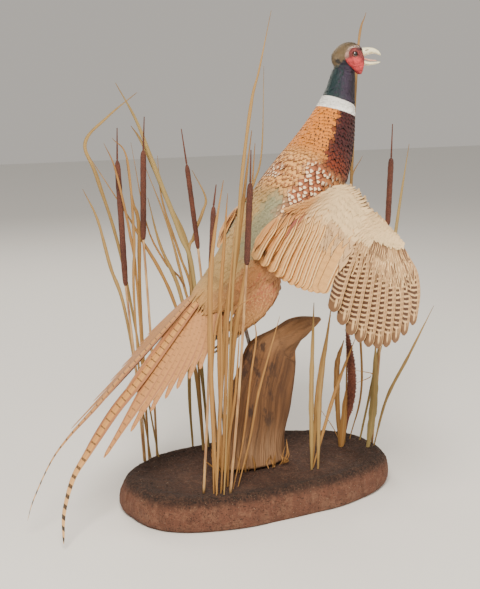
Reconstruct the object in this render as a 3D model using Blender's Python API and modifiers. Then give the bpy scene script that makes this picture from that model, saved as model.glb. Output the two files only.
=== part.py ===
"""Cock ring-necked pheasant, mounted in flight over a driftwood stump among reeds.

Metres, +Z up. The origin is the middle of the earth base's underside. The bird
heads along +X, its left side is +Y, and it climbs with its wings swept down.
Every named sub-part is one object.
"""

import math

import bmesh
import bpy
from mathutils import Matrix, Vector

GAP = 0.0003

# ---- base and stump ----
BASE_HALF_LENGTH = 0.2185
BASE_HALF_WIDTH = 0.118
BASE_SQUARENESS = 2.6
BASE_SIDES = 30
# each rim ring: share of the outline, height
BASE_PROFILE = (
    (0.955, 0.000),
    (0.990, 0.010),
    (0.985, 0.028),
    (0.950, 0.043),
    (0.895, 0.0495),
    (0.820, 0.0480),
    (0.720, 0.0445),
    (0.350, 0.0430),
)
BASE_MIDDLE_HEIGHT = 0.0435
FOOT_CLEARANCE = 0.0022

# each ring of the stump: middle, half width, half depth, lean of its plane in degrees
STUMP_RINGS = (
    ((-0.008, 0.006, 0.0470), 0.057, 0.029, 0),
    ((-0.006, 0.006, 0.0800), 0.052, 0.026, 0),
    ((0.000, 0.004, 0.1200), 0.054, 0.025, 0),
    ((0.004, 0.003, 0.1600), 0.052, 0.024, 2),
    ((0.015, 0.002, 0.2000), 0.044, 0.022, 4),
    ((0.024, 0.001, 0.2260), 0.037, 0.020, 16),
    ((0.047, 0.000, 0.2380), 0.0235, 0.018, 36),
    ((0.0635, 0.000, 0.2470), 0.0185, 0.017, 60),
    ((0.0760, -0.001, 0.2520), 0.0150, 0.015, 73),
    ((0.0910, -0.002, 0.2560), 0.0090, 0.012, 86),
    ((0.1030, -0.003, 0.2600), 0.0030, 0.006, 95),
)
STUMP_SIDES = 14

# ---- trunk and neck, from rump to throat ----
# each ring: x, z, pitch in degrees, half width, rise of the back, drop of the belly
BODY_RINGS = (
    (-0.0760, 0.3190, 45, 0.040, 0.0210, 0.0250),
    (-0.0600, 0.3250, 45, 0.046, 0.0300, 0.0350),
    (-0.0410, 0.3350, 46, 0.052, 0.0390, 0.0440),
    (-0.0150, 0.3610, 48, 0.059, 0.0480, 0.0540),
    (0.0130, 0.3910, 50, 0.064, 0.0550, 0.0620),
    (0.0430, 0.4270, 51, 0.0665, 0.0590, 0.0660),
    (0.0730, 0.4660, 54, 0.064, 0.0570, 0.0640),
    (0.0980, 0.5020, 60, 0.055, 0.0500, 0.0560),
    (0.1130, 0.5320, 68, 0.045, 0.0420, 0.0450),
    (0.1230, 0.5580, 74, 0.036, 0.0340, 0.0350),
    (0.1300, 0.5800, 80, 0.0285, 0.0280, 0.0285),
    (0.1350, 0.6020, 84, 0.0220, 0.0210, 0.0225),
    (0.1390, 0.6220, 86, 0.0190, 0.0190, 0.0195),
    (0.1420, 0.6400, 86, 0.0165, 0.0160, 0.0165),
)
BODY_SIDES = 10
NECK_CUT = Vector((0.1080, 0.0, 0.5215))
NECK_CUT_PITCH = 65

# ---- head, measured from the middle of the skull ----
HEAD_MIDDLE = Vector((0.148, 0.0, 0.651))
HEAD_YAW = math.radians(-28)
# each ring: forward, rise of its middle, half width, up, down
HEAD_RINGS = (
    (-0.0230, -0.0030, 0.0105, 0.0100, 0.0110),
    (-0.0140, -0.0010, 0.0155, 0.0180, 0.0170),
    (-0.0020, 0.0000, 0.0178, 0.0228, 0.0200),
    (0.0080, 0.0000, 0.0168, 0.0212, 0.0200),
    (0.0160, 0.0000, 0.0135, 0.0168, 0.0185),
    (0.0222, 0.0000, 0.0098, 0.0125, 0.0145),
)
HEAD_BACK = -0.0270
HEAD_SIDES = 10
BILL_UPPER_RINGS = (
    (0.0226, 0.0052, 0.0080, 0.0066, 0.0062),
    (0.0300, 0.0066, 0.0070, 0.0056, 0.0046),
    (0.0380, 0.0066, 0.0052, 0.0042, 0.0034),
    (0.0440, 0.0042, 0.0032, 0.0032, 0.0026),
)
BILL_UPPER_TIP = (0.0478, 0.0010)
BILL_LOWER_RINGS = (
    (0.0226, -0.0095, 0.0068, 0.0028, 0.0036),
    (0.0300, -0.0106, 0.0060, 0.0022, 0.0032),
    (0.0380, -0.0102, 0.0048, 0.0016, 0.0024),
)
BILL_LOWER_TIP = (0.0482, -0.0086)
TONGUE_RINGS = (
    (0.0228, -0.0042, 0.0036, 0.0014, 0.0014),
    (0.0320, -0.0062, 0.0034, 0.0013, 0.0013),
)
TONGUE_TIP = (0.0430, -0.0066)
BILL_SIDES = 8
EYE_RADIUS = 0.0056
EYE_PLACE = (0.0082, 0.0128, 0.0022)
EYE_SEGMENTS = 10
EYE_RINGS = 6
LID_RADIUS = 0.0064
LID_SIDES = 12
WATTLE_SIDES = 8
# each ring of the wattle: rise, forward, out, half length, half thickness
WATTLE_RINGS = (
    (0.0085, 0.0070, 0.0148, 0.0085, 0.0030),
    (0.0010, 0.0070, 0.0158, 0.0135, 0.0036),
    (-0.0080, 0.0090, 0.0155, 0.0130, 0.0042),
    (-0.0160, 0.0125, 0.0135, 0.0090, 0.0042),
    (-0.0220, 0.0155, 0.0120, 0.0050, 0.0032),
)
WATTLE_TOP = (0.0115, 0.0080, 0.0140)
WATTLE_LOBE = (-0.0270, 0.0170, 0.0112)

# ---- tail: a roof of long feathers behind the rump ----
TAIL_ROOT = Vector((-0.062, 0.0, 0.355))
TAIL_BACK = Vector((-0.716, 0.0, -0.698))
TAIL_UNDER = Vector((0.698, 0.0, -0.716))
TAIL_START = 0.036
TAIL_THICKNESS = 0.0008
ROOF_ANGLE = {"right": math.radians(35), "left": math.radians(11)}
# each side feather from the middle outwards: angle from the ridge in degrees, reach
TAIL_SIDE_FEATHERS = (
    (4.5, 0.300),
    (9.5, 0.316),
    (12.4, 0.268),
    (15.2, 0.232),
    (18.2, 0.208),
    (21.2, 0.190),
    (25.0, 0.172),
    (29.0, 0.156),
)
TAIL_INNER_EDGE = (1.6, 0.258)
TAIL_OUTER_EDGE = (30.5, 0.126)
TAIL_NOTCH = 0.90
TAIL_LENGTHS = 4
TAIL_UNDER_RIDGE = 0.0026
TAIL_FOLD = 0.10
# each middle feather: reach, sideways, drop below the ridge line, half width
TAIL_MIDDLE_PATHS = {
    "left": (
        (0.038, 0.004, -0.0015, 0.0064),
        (0.142, 0.005, -0.0030, 0.0098),
        (0.211, 0.007, -0.0050, 0.0100),
        (0.266, 0.008, -0.0040, 0.0085),
        (0.324, 0.006, -0.0065, 0.0050),
        (0.364, 0.004, -0.0030, 0.0030),
        (0.416, 0.000, 0.0120, 0.0026),
        (0.443, 0.000, 0.0260, 0.0014),
    ),
    "right": (
        (0.038, -0.009, -0.0005, 0.0060),
        (0.148, -0.012, 0.0062, 0.0098),
        (0.201, -0.016, 0.0085, 0.0100),
        (0.251, -0.017, 0.0095, 0.0095),
        (0.293, -0.021, 0.0130, 0.0085),
        (0.3235, -0.027, 0.0155, 0.0065),
        (0.354, -0.034, 0.0177, 0.0048),
        (0.381, -0.044, 0.0250, 0.0036),
        (0.4055, -0.052, 0.0370, 0.0030),
        (0.432, -0.060, 0.0590, 0.0014),
    ),
}
# each ring of the soft wedge under the tail: reach, drop, half width, up, down
UNDERTAIL_RINGS = (
    (0.0365, 0.0420, 0.036, 0.016, 0.020),
    (0.0650, 0.0450, 0.034, 0.014, 0.018),
    (0.1000, 0.0440, 0.026, 0.008, 0.011),
)
UNDERTAIL_TIP = (0.1400, 0.0420)
UNDERTAIL_SIDES = 8

# ---- wings, given for the right wing; the left one is its mirror image ----
WING_EDGE = (
    (0.016, -0.062, 0.439),
    (0.056, -0.068, 0.453),
    (0.090, -0.070, 0.468),
    (0.100, -0.095, 0.465),
    (0.091, -0.150, 0.443),
)
HAND_END = (0.100, -0.195, 0.413)
SECONDARY_TIPS = ((-0.041, -0.052, 0.375), (0.0115, -0.0795, 0.3215), (0.018, -0.143, 0.334))
PRIMARY_TIPS = ((0.015, -0.165, 0.323), (0.044, -0.2315, 0.225), (0.089, -0.260, 0.315))
SECONDARY_COUNT = 10
PRIMARY_COUNT = 10
FIRST_PRIMARY = 1.025
WING_OUT_ARM = Vector((-0.74, -0.20, 0.61)).normalized()
WING_OUT_HAND = Vector((-0.68, -0.45, 0.58)).normalized()
WING_LEAD = Vector((0.676, -0.625, 0.341)).normalized()
WING_CAMBER = 0.010
PRIMARY_BOW = 0.015
VANE_START = 0.46
VANE_THICKNESS = 0.0009
QUILL_GAP = 0.012
TIP_SCALLOP = 0.055
VANE_CHORDS = 3
ARM_THICKNESS = 0.0085
ARM_THINNING = 0.62
ARM_THINS_FROM = 0.7
ARM_STATIONS = 15
# section of the arm: share of the chord, lift as a share of the thickness
ARM_PROFILE = (
    (-0.03, 0.00),
    (0.02, 0.55),
    (0.12, 0.80),
    (0.28, 0.50),
    (VANE_START, 0.14),
    (VANE_START, -0.14),
    (0.28, -0.30),
    (0.10, -0.60),
    (0.00, -0.45),
)
EDGE_STEPS = 40

# ---- legs, folded back under the belly ----
THIGH_PATH = ((0.004, 0.036, 0.338), (-0.030, 0.044, 0.303), (-0.062, 0.043, 0.273))
THIGH_HALF = ((0.024, 0.013), (0.026, 0.012), (0.013, 0.007))
THIGH_ENDS = (0.012, 0.016)
THIGH_SIDES = 8
LEG_HEEL = (-0.014, 0.0185, 0.2840)
LEG_ANKLE = (-0.046, 0.0185, 0.2560)
LEG_TOES = ((-0.079, 0.010, 0.238), (-0.083, 0.0185, 0.234), (-0.077, 0.027, 0.240))
LEG_RADIUS = 0.0042
TOE_RADIUS = 0.0030

LIMB_SIDES = 7

# ---- steel rod from the stump into the belly ----
ROD_RADIUS = 0.0030
ROD_SIDES = 10
ROD_FOOT = Vector((-0.008, 0.006, 0.2150))
ROD_TOP = Vector((-0.034, 0.004, 0.3050))

# ---- cattails: foot, foot of the spike, top of the spike, tip ----
CATTAILS = (
    ((-0.150, 0.090), (-0.166, 0.110, 0.315), (-0.173, 0.114, 0.503), (-0.172, 0.114, 0.549)),
    ((-0.126, 0.096), (-0.133, 0.118, 0.381), (-0.131, 0.116, 0.516), (-0.129, 0.115, 0.564)),
    ((-0.026, 0.086), (-0.040, 0.122, 0.359), (-0.055, 0.129, 0.491), (-0.061, 0.134, 0.544)),
    ((-0.124, -0.064), (-0.119, -0.077, 0.331), (-0.114, -0.080, 0.454), (-0.110, -0.080, 0.482)),
    ((-0.092, -0.084), (-0.072, -0.095, 0.372), (-0.068, -0.097, 0.484), (-0.067, -0.097, 0.527)),
    ((0.203, -0.010), (0.228, 0.000, 0.394), (0.234, 0.004, 0.499), (0.236, 0.006, 0.550)),
)
STALK_RADIUS = 0.0019
STALK_BOW = Vector((0.002, 0, 0))
SPIKE_RADII = (0.0044, 0.0044, 0.0038, 0.0036, 0.0042, 0.0044)
SPIKE_NECK_RADIUS = 0.0014
SPIKE_TIP_RADIUS = 0.0007
SPIKE_SIDES = 7

# ---- dry leaves: half width, then the foot and the points it bends through ----
LEAVES = {
    "leaf_rear_1": (0.0034, (-0.140, 0.086),
        (-0.163, 0.120, 0.270), (-0.179, 0.138, 0.342), (-0.192, 0.152, 0.412), (-0.210, 0.162, 0.458)),
    "leaf_rear_2": (0.0034, (-0.128, 0.084),
        (-0.154, 0.148, 0.338), (-0.194, 0.142, 0.474), (-0.209, 0.149, 0.526),
        (-0.180, 0.131, 0.564), (-0.142, 0.109, 0.599)),
    "leaf_mid_1": (0.0046, (-0.038, 0.095),
        (-0.046, 0.125, 0.309), (-0.059, 0.145, 0.381), (-0.083, 0.175, 0.471),
        (-0.108, 0.195, 0.553), (-0.136, 0.209, 0.612)),
    "leaf_mid_2": (0.0032, (-0.033, 0.103),
        (-0.045, 0.143, 0.325), (-0.033, 0.152, 0.375), (-0.014, 0.160, 0.411),
        (-0.007, 0.163, 0.435), (-0.027, 0.170, 0.478)),
    "leaf_mid_3": (0.0038, (-0.050, 0.090),
        (-0.051, 0.112, 0.162), (-0.068, 0.130, 0.292), (-0.094, 0.145, 0.368), (-0.111, 0.150, 0.441)),
    "leaf_mid_4": (0.0044, (-0.060, 0.106),
        (-0.055, 0.128, 0.142), (-0.035, 0.162, 0.333), (-0.063, 0.185, 0.431),
        (-0.098, 0.198, 0.519), (-0.115, 0.202, 0.547)),
    "leaf_tall_back": (0.0026, (-0.010, 0.096),
        (-0.010, 0.116, 0.270), (0.003, 0.116, 0.345), (0.022, 0.113, 0.400),
        (0.050, 0.108, 0.460), (0.0615, 0.104, 0.510), (0.060, 0.096, 0.637)),
    "leaf_tall_front": (0.0028, (-0.104, -0.088),
        (-0.095, -0.097, 0.328), (-0.087, -0.101, 0.449), (-0.082, -0.104, 0.512),
        (-0.073, -0.110, 0.592), (-0.064, -0.113, 0.630), (-0.049, -0.117, 0.704)),
    "leaf_front_1": (0.0046, (-0.100, -0.056),
        (-0.098, -0.081, 0.280), (-0.079, -0.086, 0.413), (-0.061, -0.088, 0.552)),
    "leaf_front_2": (0.0044, (-0.084, -0.060),
        (-0.084, -0.078, 0.255), (-0.067, -0.084, 0.364), (-0.056, -0.088, 0.535)),
    "leaf_front_3": (0.0044, (-0.110, -0.078),
        (-0.120, -0.084, 0.187), (-0.125, -0.090, 0.334), (-0.121, -0.094, 0.411), (-0.108, -0.097, 0.489)),
    "leaf_front_4": (0.0032, (-0.096, -0.066),
        (-0.108, -0.082, 0.268), (-0.101, -0.084, 0.394), (-0.094, -0.082, 0.470)),
    "leaf_head": (0.0030, (0.167, 0.014),
        (0.185, 0.039, 0.456), (0.199, 0.049, 0.665), (0.211, 0.048, 0.717)),
    "leaf_right_1": (0.0042, (0.188, 0.004),
        (0.231, 0.003, 0.243), (0.251, 0.011, 0.373), (0.278, 0.018, 0.518)),
    "leaf_right_2": (0.0030, (0.196, -0.024),
        (0.213, -0.032, 0.125), (0.240, -0.050, 0.197), (0.267, -0.072, 0.277)),
    "leaf_right_3": (0.0075, (0.182, -0.028),
        (0.196, -0.021, 0.119), (0.204, -0.011, 0.213)),
    "leaf_stump_1": (0.0046, (0.058, -0.060),
        (0.057, -0.058, 0.170), (0.060, -0.056, 0.300)),
    "leaf_stump_2": (0.0044, (0.068, -0.062),
        (0.070, -0.062, 0.168), (0.083, -0.068, 0.300)),
    "leaf_stump_3": (0.0034, (0.064, -0.054),
        (0.093, -0.066, 0.162), (0.119, -0.077, 0.243)),
}
LEAF_THICKNESS = 0.0008
LEAF_LENGTHS = 7
LEAF_FOLD = 0.12
LEAF_FACING = Vector((-0.46, -0.87, 0.10))
DOCK_FOOT = (0.155, 0.005)
DOCK_TOP = Vector((0.158, 0.004, 0.236))
DOCK_BOW = 0.012
DOCK_SIDES = 8
# each ring of the dock: radius, share of its height
DOCK_PROFILE = (
    (0.0016, 0.00),
    (0.0016, 0.22),
    (0.0060, 0.32),
    (0.0092, 0.50),
    (0.0080, 0.70),
    (0.0050, 0.90),
)

COLOURS = {
    "earth": ((0.16, 0.075, 0.045), 0.95),
    "driftwood": ((0.36, 0.23, 0.12), 0.8),
    "dry_leaf": ((0.47, 0.37, 0.16), 0.65),
    "cattail_spike": ((0.13, 0.045, 0.03), 0.95),
    "stalk": ((0.50, 0.36, 0.18), 0.6),
    "feather_mantle": ((0.50, 0.24, 0.08), 0.6),
    "feather_neck": ((0.03, 0.07, 0.09), 0.4),
    "feather_crown": ((0.27, 0.23, 0.16), 0.6),
    "feather_wing": ((0.52, 0.43, 0.31), 0.6),
    "feather_tail": ((0.50, 0.34, 0.22), 0.6),
    "bare_skin": ((0.62, 0.06, 0.06), 0.6),
    "bill_horn": ((0.75, 0.70, 0.52), 0.35),
    "tongue": ((0.55, 0.30, 0.24), 0.5),
    "eye_glass": ((0.25, 0.08, 0.02), 0.05),
    "leg_scale": ((0.30, 0.27, 0.22), 0.6),
    "steel": ((0.35, 0.35, 0.36), 0.4),
}

pheasant = None
cutters = None


# ---------------------------------------------------------------- helpers
def clear_scene():
    for obj in list(bpy.data.objects):
        bpy.data.objects.remove(obj, do_unlink=True)


def new_collection(name):
    collection = bpy.data.collections.new(name)
    bpy.context.scene.collection.children.link(collection)
    return collection


def material(name):
    found = bpy.data.materials.get(name)
    if found:
        return found
    colour, roughness = COLOURS[name]
    made = bpy.data.materials.new(name)
    made.use_nodes = True
    shader = made.node_tree.nodes["Principled BSDF"]
    shader.inputs["Base Color"].default_value = (*colour, 1.0)
    shader.inputs["Roughness"].default_value = roughness
    shader.inputs["Metallic"].default_value = 1.0 if name == "steel" else 0.0
    return made


def add_object(name, mesh, finish, collection=None):
    obj = bpy.data.objects.new(name, mesh)
    (collection or pheasant).objects.link(obj)
    mesh.materials.append(material(finish))
    mesh.shade_smooth()
    mesh.set_sharp_from_angle(angle=math.radians(50))
    return obj


def mesh_from(name, vertices, faces):
    """A mesh whose faces are turned outwards."""
    mesh = bpy.data.meshes.new(name)
    mesh.from_pydata([tuple(v) for v in vertices], [], faces)
    work = bmesh.new()
    work.from_mesh(mesh)
    bmesh.ops.recalc_face_normals(work, faces=work.faces)
    work.to_mesh(mesh)
    work.free()
    return mesh


def loft(name, rings, start=None, end=None):
    """Closed skin over rings of equal count. A missing pole leaves that end flat."""
    sides = len(rings[0])
    vertices = [point for ring in rings for point in ring]
    faces = []
    for r in range(len(rings) - 1):
        for s in range(sides):
            a = r * sides + s
            b = r * sides + (s + 1) % sides
            faces.append((a, b, b + sides, a + sides))
    last = (len(rings) - 1) * sides
    for first, pole in ((0, start), (last, end)):
        if pole is None:
            faces.append(tuple(first + s for s in range(sides)))
            continue
        vertices.append(pole)
        tip = len(vertices) - 1
        faces += [(first + s, first + (s + 1) % sides, tip) for s in range(sides)]
    return mesh_from(name, vertices, faces)


def egg_ring(middle, across, rise, half_width, up, down, sides):
    """Oval with its own height above and below the middle."""
    ring = []
    for s in range(sides):
        turn = 2 * math.pi * (s + 0.5) / sides
        height = math.cos(turn) * (up if math.cos(turn) > 0 else down)
        ring.append(middle + across * (half_width * math.sin(turn)) + rise * height)
    return ring


def round_ring(middle, across, rise, sides):
    """Ellipse whose half axes are the two given vectors."""
    turns = [2 * math.pi * s / sides for s in range(sides)]
    return [middle + across * math.cos(a) + rise * math.sin(a) for a in turns]


def smooth_path(points, steps):
    """Points evenly spread along a Catmull-Rom curve through the given points."""
    p = [Vector(q) for q in points]
    p = [2 * p[0] - p[1]] + p + [2 * p[-1] - p[-2]]
    out = []
    for k in range(steps):
        t = k / (steps - 1) * (len(p) - 3)
        i = min(int(t), len(p) - 4)
        t -= i
        a, b, c, d = p[i:i + 4]
        out.append(0.5 * (2 * b + (c - a) * t + (2 * a - 5 * b + 4 * c - d) * t * t
                          + (3 * b - a - 3 * c + d) * t ** 3))
    return out


def bezier(points, t):
    a, b, c = (Vector(q) for q in points)
    return a * (1 - t) ** 2 + b * (2 * t * (1 - t)) + c * t * t


def sheet(name, rows, thickness, finish):
    """Open grid given a thickness: a leaf, or the vanes of a row of feathers."""
    width = len(rows[0])
    faces = [(r * width + c, r * width + c + 1, (r + 1) * width + c + 1, (r + 1) * width + c)
             for r in range(len(rows) - 1) for c in range(width - 1)]
    mesh = bpy.data.meshes.new(name)
    mesh.from_pydata([tuple(v) for row in rows for v in row], [], faces)
    obj = add_object(name, mesh, finish)
    wall = obj.modifiers.new("thickness", "SOLIDIFY")
    wall.thickness = thickness
    wall.offset = 0.0
    wall.use_even_offset = False
    return obj


def ribbon(path, half_widths, facing, fold):
    """Rows of a strip along a path: edge, raised middle, edge."""
    rows = []
    for k, point in enumerate(path):
        ahead = path[min(k + 1, len(path) - 1)] - path[max(k - 1, 0)]
        across = ahead.cross(facing).normalized()
        lift = across.cross(ahead).normalized() * (half_widths[k] * fold)
        rows.append((point - across * half_widths[k], point + lift, point + across * half_widths[k]))
    return rows


def smoothed(obj):
    soft = obj.modifiers.new("soft", "SUBSURF")
    soft.levels = 1
    soft.render_levels = 1
    return obj


def cutter_from(obj, clearance):
    """A hidden copy of a part, grown by the clearance on every side."""
    graph = bpy.context.evaluated_depsgraph_get()
    mesh = bpy.data.meshes.new_from_object(obj.evaluated_get(graph))
    work = bmesh.new()
    work.from_mesh(mesh)
    bmesh.ops.remove_doubles(work, verts=work.verts, dist=0.00001)
    work.normal_update()
    grown = [v.co + v.normal * clearance for v in work.verts]
    for vert, place in zip(work.verts, grown):
        vert.co = place
    work.to_mesh(mesh)
    work.free()
    cutter = bpy.data.objects.new(obj.name + "_cutter", mesh)
    cutters.objects.link(cutter)
    cutter.hide_render = True
    cutter.display_type = "WIRE"
    return cutter


def cut(obj, cutter, operation="DIFFERENCE"):
    hole = obj.modifiers.new(operation.lower() + "_" + cutter.name, "BOOLEAN")
    hole.operation = operation
    hole.solver = "EXACT"
    hole.object = cutter


def limb(name, path, radii, sides=LIMB_SIDES):
    """Round tapering limb through a few points, flat at both ends."""
    rings = []
    for k, (point, radius) in enumerate(zip(path, radii)):
        ahead = (path[min(k + 1, len(path) - 1)] - path[max(k - 1, 0)]).normalized()
        across = ahead.cross(Vector((0, 1, 0))).normalized()
        rise = ahead.cross(across)
        rings.append(round_ring(point, across * radius, rise * radius, sides))
    return loft(name, rings)


def tube(name, points, radius, finish):
    curve = bpy.data.curves.new(name, "CURVE")
    curve.dimensions = "3D"
    curve.bevel_depth = radius
    curve.bevel_resolution = 1
    curve.use_fill_caps = True
    line = curve.splines.new("POLY")
    line.points.add(len(points) - 1)
    for place, point in zip(line.points, points):
        place.co = (*point, 1.0)
    obj = bpy.data.objects.new(name, curve)
    pheasant.objects.link(obj)
    curve.materials.append(material(finish))
    return obj


# ---------------------------------------------------------------- base and stump
def outline_share(x, y):
    """How far out a place on the base lies: 0 at the middle, 1 on its outline."""
    n = BASE_SQUARENESS
    return (abs(x / BASE_HALF_LENGTH) ** n + abs(y / BASE_HALF_WIDTH) ** n) ** (1 / n)


def base_top(x, y):
    share = outline_share(x, y)
    rings = [(0.0, BASE_MIDDLE_HEIGHT)] + sorted(BASE_PROFILE[3:])
    for (inner, low), (outer, high) in zip(rings, rings[1:]):
        if share <= outer:
            return low + (high - low) * (share - inner) / (outer - inner)
    return rings[-1][1]


def foot_on_base(x, y):
    return Vector((x, y, base_top(x, y) + FOOT_CLEARANCE))


def build_base():
    rings = []
    for share, height in BASE_PROFILE:
        ring = []
        for s in range(BASE_SIDES):
            turn = 2 * math.pi * s / BASE_SIDES
            c, d = math.cos(turn), math.sin(turn)
            reach = share / outline_share(c, d)
            if 0.004 < height and share > 0.9:
                reach *= 1 + 0.008 * math.sin(5 * turn + 60 * height) + 0.005 * math.sin(11 * turn)
            ring.append(Vector((c * reach, d * reach, height)))
        rings.append(ring)
    mesh = loft("base", rings, None, Vector((0, 0, BASE_MIDDLE_HEIGHT)))
    return add_object("base", mesh, "earth")


def build_driftwood():
    rings = []
    for k, (middle, half, depth, lean) in enumerate(STUMP_RINGS):
        turn = math.radians(lean)
        along = Vector((math.cos(turn), 0, -math.sin(turn)))
        ring = []
        for s in range(STUMP_SIDES):
            angle = 2 * math.pi * s / STUMP_SIDES
            gnarl = 1 + 0.07 * math.sin(3 * angle + 0.9 * k) + 0.05 * math.sin(5 * angle - 0.5 * k)
            if k in (0, len(STUMP_RINGS) - 1):
                gnarl = 1
            ring.append(Vector(middle) + along * (half * gnarl * math.cos(angle))
                        + Vector((0, depth * gnarl * math.sin(angle), 0)))
        rings.append(ring)
    return add_object("driftwood", loft("driftwood", rings), "driftwood")


# ---------------------------------------------------------------- body
def pitched(pitch):
    """Forward and dorsal directions of a section of the body."""
    turn = math.radians(pitch)
    return Vector((math.cos(turn), 0, math.sin(turn))), Vector((-math.sin(turn), 0, math.cos(turn)))


def body_mesh():
    left = Vector((0, 1, 0))
    rings = []
    for x, z, pitch, half, up, down in BODY_RINGS:
        dorsal = pitched(pitch)[1]
        rings.append(egg_ring(Vector((x, 0, z)), left, dorsal, half, up, down, BODY_SIDES))
    obj = smoothed(add_object("whole_body", loft("whole_body", rings), "feather_mantle", cutters))
    obj.modifiers["soft"].boundary_smooth = "PRESERVE_CORNERS"
    graph = bpy.context.evaluated_depsgraph_get()
    mesh = bpy.data.meshes.new_from_object(obj.evaluated_get(graph))
    bpy.data.objects.remove(obj)
    return mesh


def side_of(mesh, name, point, normal):
    """The part of a closed mesh behind a plane, with the cut closed flat."""
    work = bmesh.new()
    work.from_mesh(mesh)
    everything = work.verts[:] + work.edges[:] + work.faces[:]
    bmesh.ops.bisect_plane(work, geom=everything, plane_co=point, plane_no=normal,
                           clear_outer=True, dist=0.000001)
    edges = [e for e in work.edges if e.is_boundary]
    bmesh.ops.contextual_create(work, geom=edges)
    bmesh.ops.recalc_face_normals(work, faces=work.faces)
    part = bpy.data.meshes.new(name)
    work.to_mesh(part)
    work.free()
    return part


def build_trunk_and_neck(head):
    whole = body_mesh()
    forward = pitched(NECK_CUT_PITCH)[0]
    trunk_mesh = side_of(whole, "trunk", NECK_CUT - forward * (GAP / 2), forward)
    rear = TAIL_ROOT + TAIL_BACK * (TAIL_START - 2 * GAP)
    trunk = add_object("trunk", side_of(trunk_mesh, "trunk", rear, TAIL_BACK), "feather_mantle")
    neck = add_object("neck", side_of(whole, "neck", NECK_CUT + forward * (GAP / 2), -forward),
                      "feather_neck")
    cut(neck, cutter_from(head, GAP))
    return trunk


# ---------------------------------------------------------------- head
def head_frame():
    forward = Vector((math.cos(HEAD_YAW), math.sin(HEAD_YAW), 0))
    left = Vector((-math.sin(HEAD_YAW), math.cos(HEAD_YAW), 0))
    return forward, left, Vector((0, 0, 1))


def on_head(along, out, rise):
    forward, left, up = head_frame()
    return HEAD_MIDDLE + forward * along + left * out + up * rise


def head_loft(name, table, start, end, sides, finish):
    _, left, up = head_frame()
    rings = [egg_ring(on_head(along, 0, rise), left, up, half, above, below, sides)
             for along, rise, half, above, below in table]
    return add_object(name, loft(name, rings, start, end), finish)


def build_head():
    head = smoothed(head_loft("head", HEAD_RINGS, on_head(HEAD_BACK, 0, -0.004), None,
                              HEAD_SIDES, "feather_crown"))
    uncut = cutter_from(head, GAP)
    for side, hand in ((1, "left"), (-1, "right")):
        along, out, rise = EYE_PLACE
        place = on_head(along, side * out, rise)
        work = bmesh.new()
        bmesh.ops.create_uvsphere(work, u_segments=EYE_SEGMENTS, v_segments=EYE_RINGS,
                                  radius=EYE_RADIUS)
        eye_mesh = bpy.data.meshes.new("eye_" + hand)
        work.to_mesh(eye_mesh)
        work.free()
        eye = add_object("eye_" + hand, eye_mesh, "eye_glass")
        eye.matrix_world = Matrix.Translation(place)
        bpy.context.view_layer.update()
        socket = cutter_from(eye, GAP * 2)
        socket.matrix_world = eye.matrix_world
        cut(head, socket)
        wattle = build_wattle(side, hand)
        cut(wattle, uncut)
        cut(wattle, build_lid_opening(side, hand, place))
    return head


def build_lid_opening(side, hand, place):
    """Round hole through the cheek skin, in front of the eye."""
    work = bmesh.new()
    bmesh.ops.create_cone(work, cap_ends=True, segments=LID_SIDES, radius1=LID_RADIUS,
                          radius2=LID_RADIUS, depth=4 * LID_RADIUS)
    mesh = bpy.data.meshes.new("lid_opening")
    work.to_mesh(mesh)
    work.free()
    opening = bpy.data.objects.new("lid_opening_" + hand, mesh)
    cutters.objects.link(opening)
    opening.hide_render = True
    opening.display_type = "WIRE"
    outwards = head_frame()[1] * side
    opening.location = place + outwards * LID_RADIUS
    opening.rotation_euler = outwards.to_track_quat("Z", "Y").to_euler()
    return opening


def build_wattle(side, hand):
    """Bare red cheek round the eye, ending below in a hanging lobe."""
    forward, left, _ = head_frame()
    rings = []
    for rise, along, out, length, depth in WATTLE_RINGS:
        middle = on_head(along, side * out, rise)
        rings.append(round_ring(middle, forward * length, left * depth, WATTLE_SIDES))
    top_rise, top_along, top_out = WATTLE_TOP
    low_rise, low_along, low_out = WATTLE_LOBE
    mesh = loft("wattle_" + hand, rings, on_head(top_along, side * top_out, top_rise),
                on_head(low_along, side * low_out, low_rise))
    return add_object("wattle_" + hand, mesh, "bare_skin")


def build_bill():
    head_loft("bill_upper", BILL_UPPER_RINGS, None, on_head(BILL_UPPER_TIP[0], 0, BILL_UPPER_TIP[1]),
              BILL_SIDES, "bill_horn")
    head_loft("bill_lower", BILL_LOWER_RINGS, None, on_head(BILL_LOWER_TIP[0], 0, BILL_LOWER_TIP[1]),
              BILL_SIDES, "bill_horn")
    head_loft("tongue", TONGUE_RINGS, None, on_head(TONGUE_TIP[0], 0, TONGUE_TIP[1]),
              BILL_SIDES, "tongue")


# ---------------------------------------------------------------- tail
def on_tail(reach, sideways, drop):
    return TAIL_ROOT + TAIL_BACK * reach + Vector((0, sideways, 0)) + TAIL_UNDER * drop


def roof_point(hand, angle, reach, lift):
    """A place on one slope of the tail's roof, by its angle from the ridge."""
    side = 1 if hand == "left" else -1
    slope = ROOF_ANGLE[hand]
    across = Vector((0, side * math.cos(slope), 0)) + TAIL_UNDER * math.sin(slope)
    return (TAIL_ROOT + TAIL_BACK * (reach * math.cos(angle)) + across * (reach * math.sin(angle))
            + TAIL_UNDER * lift)


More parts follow.
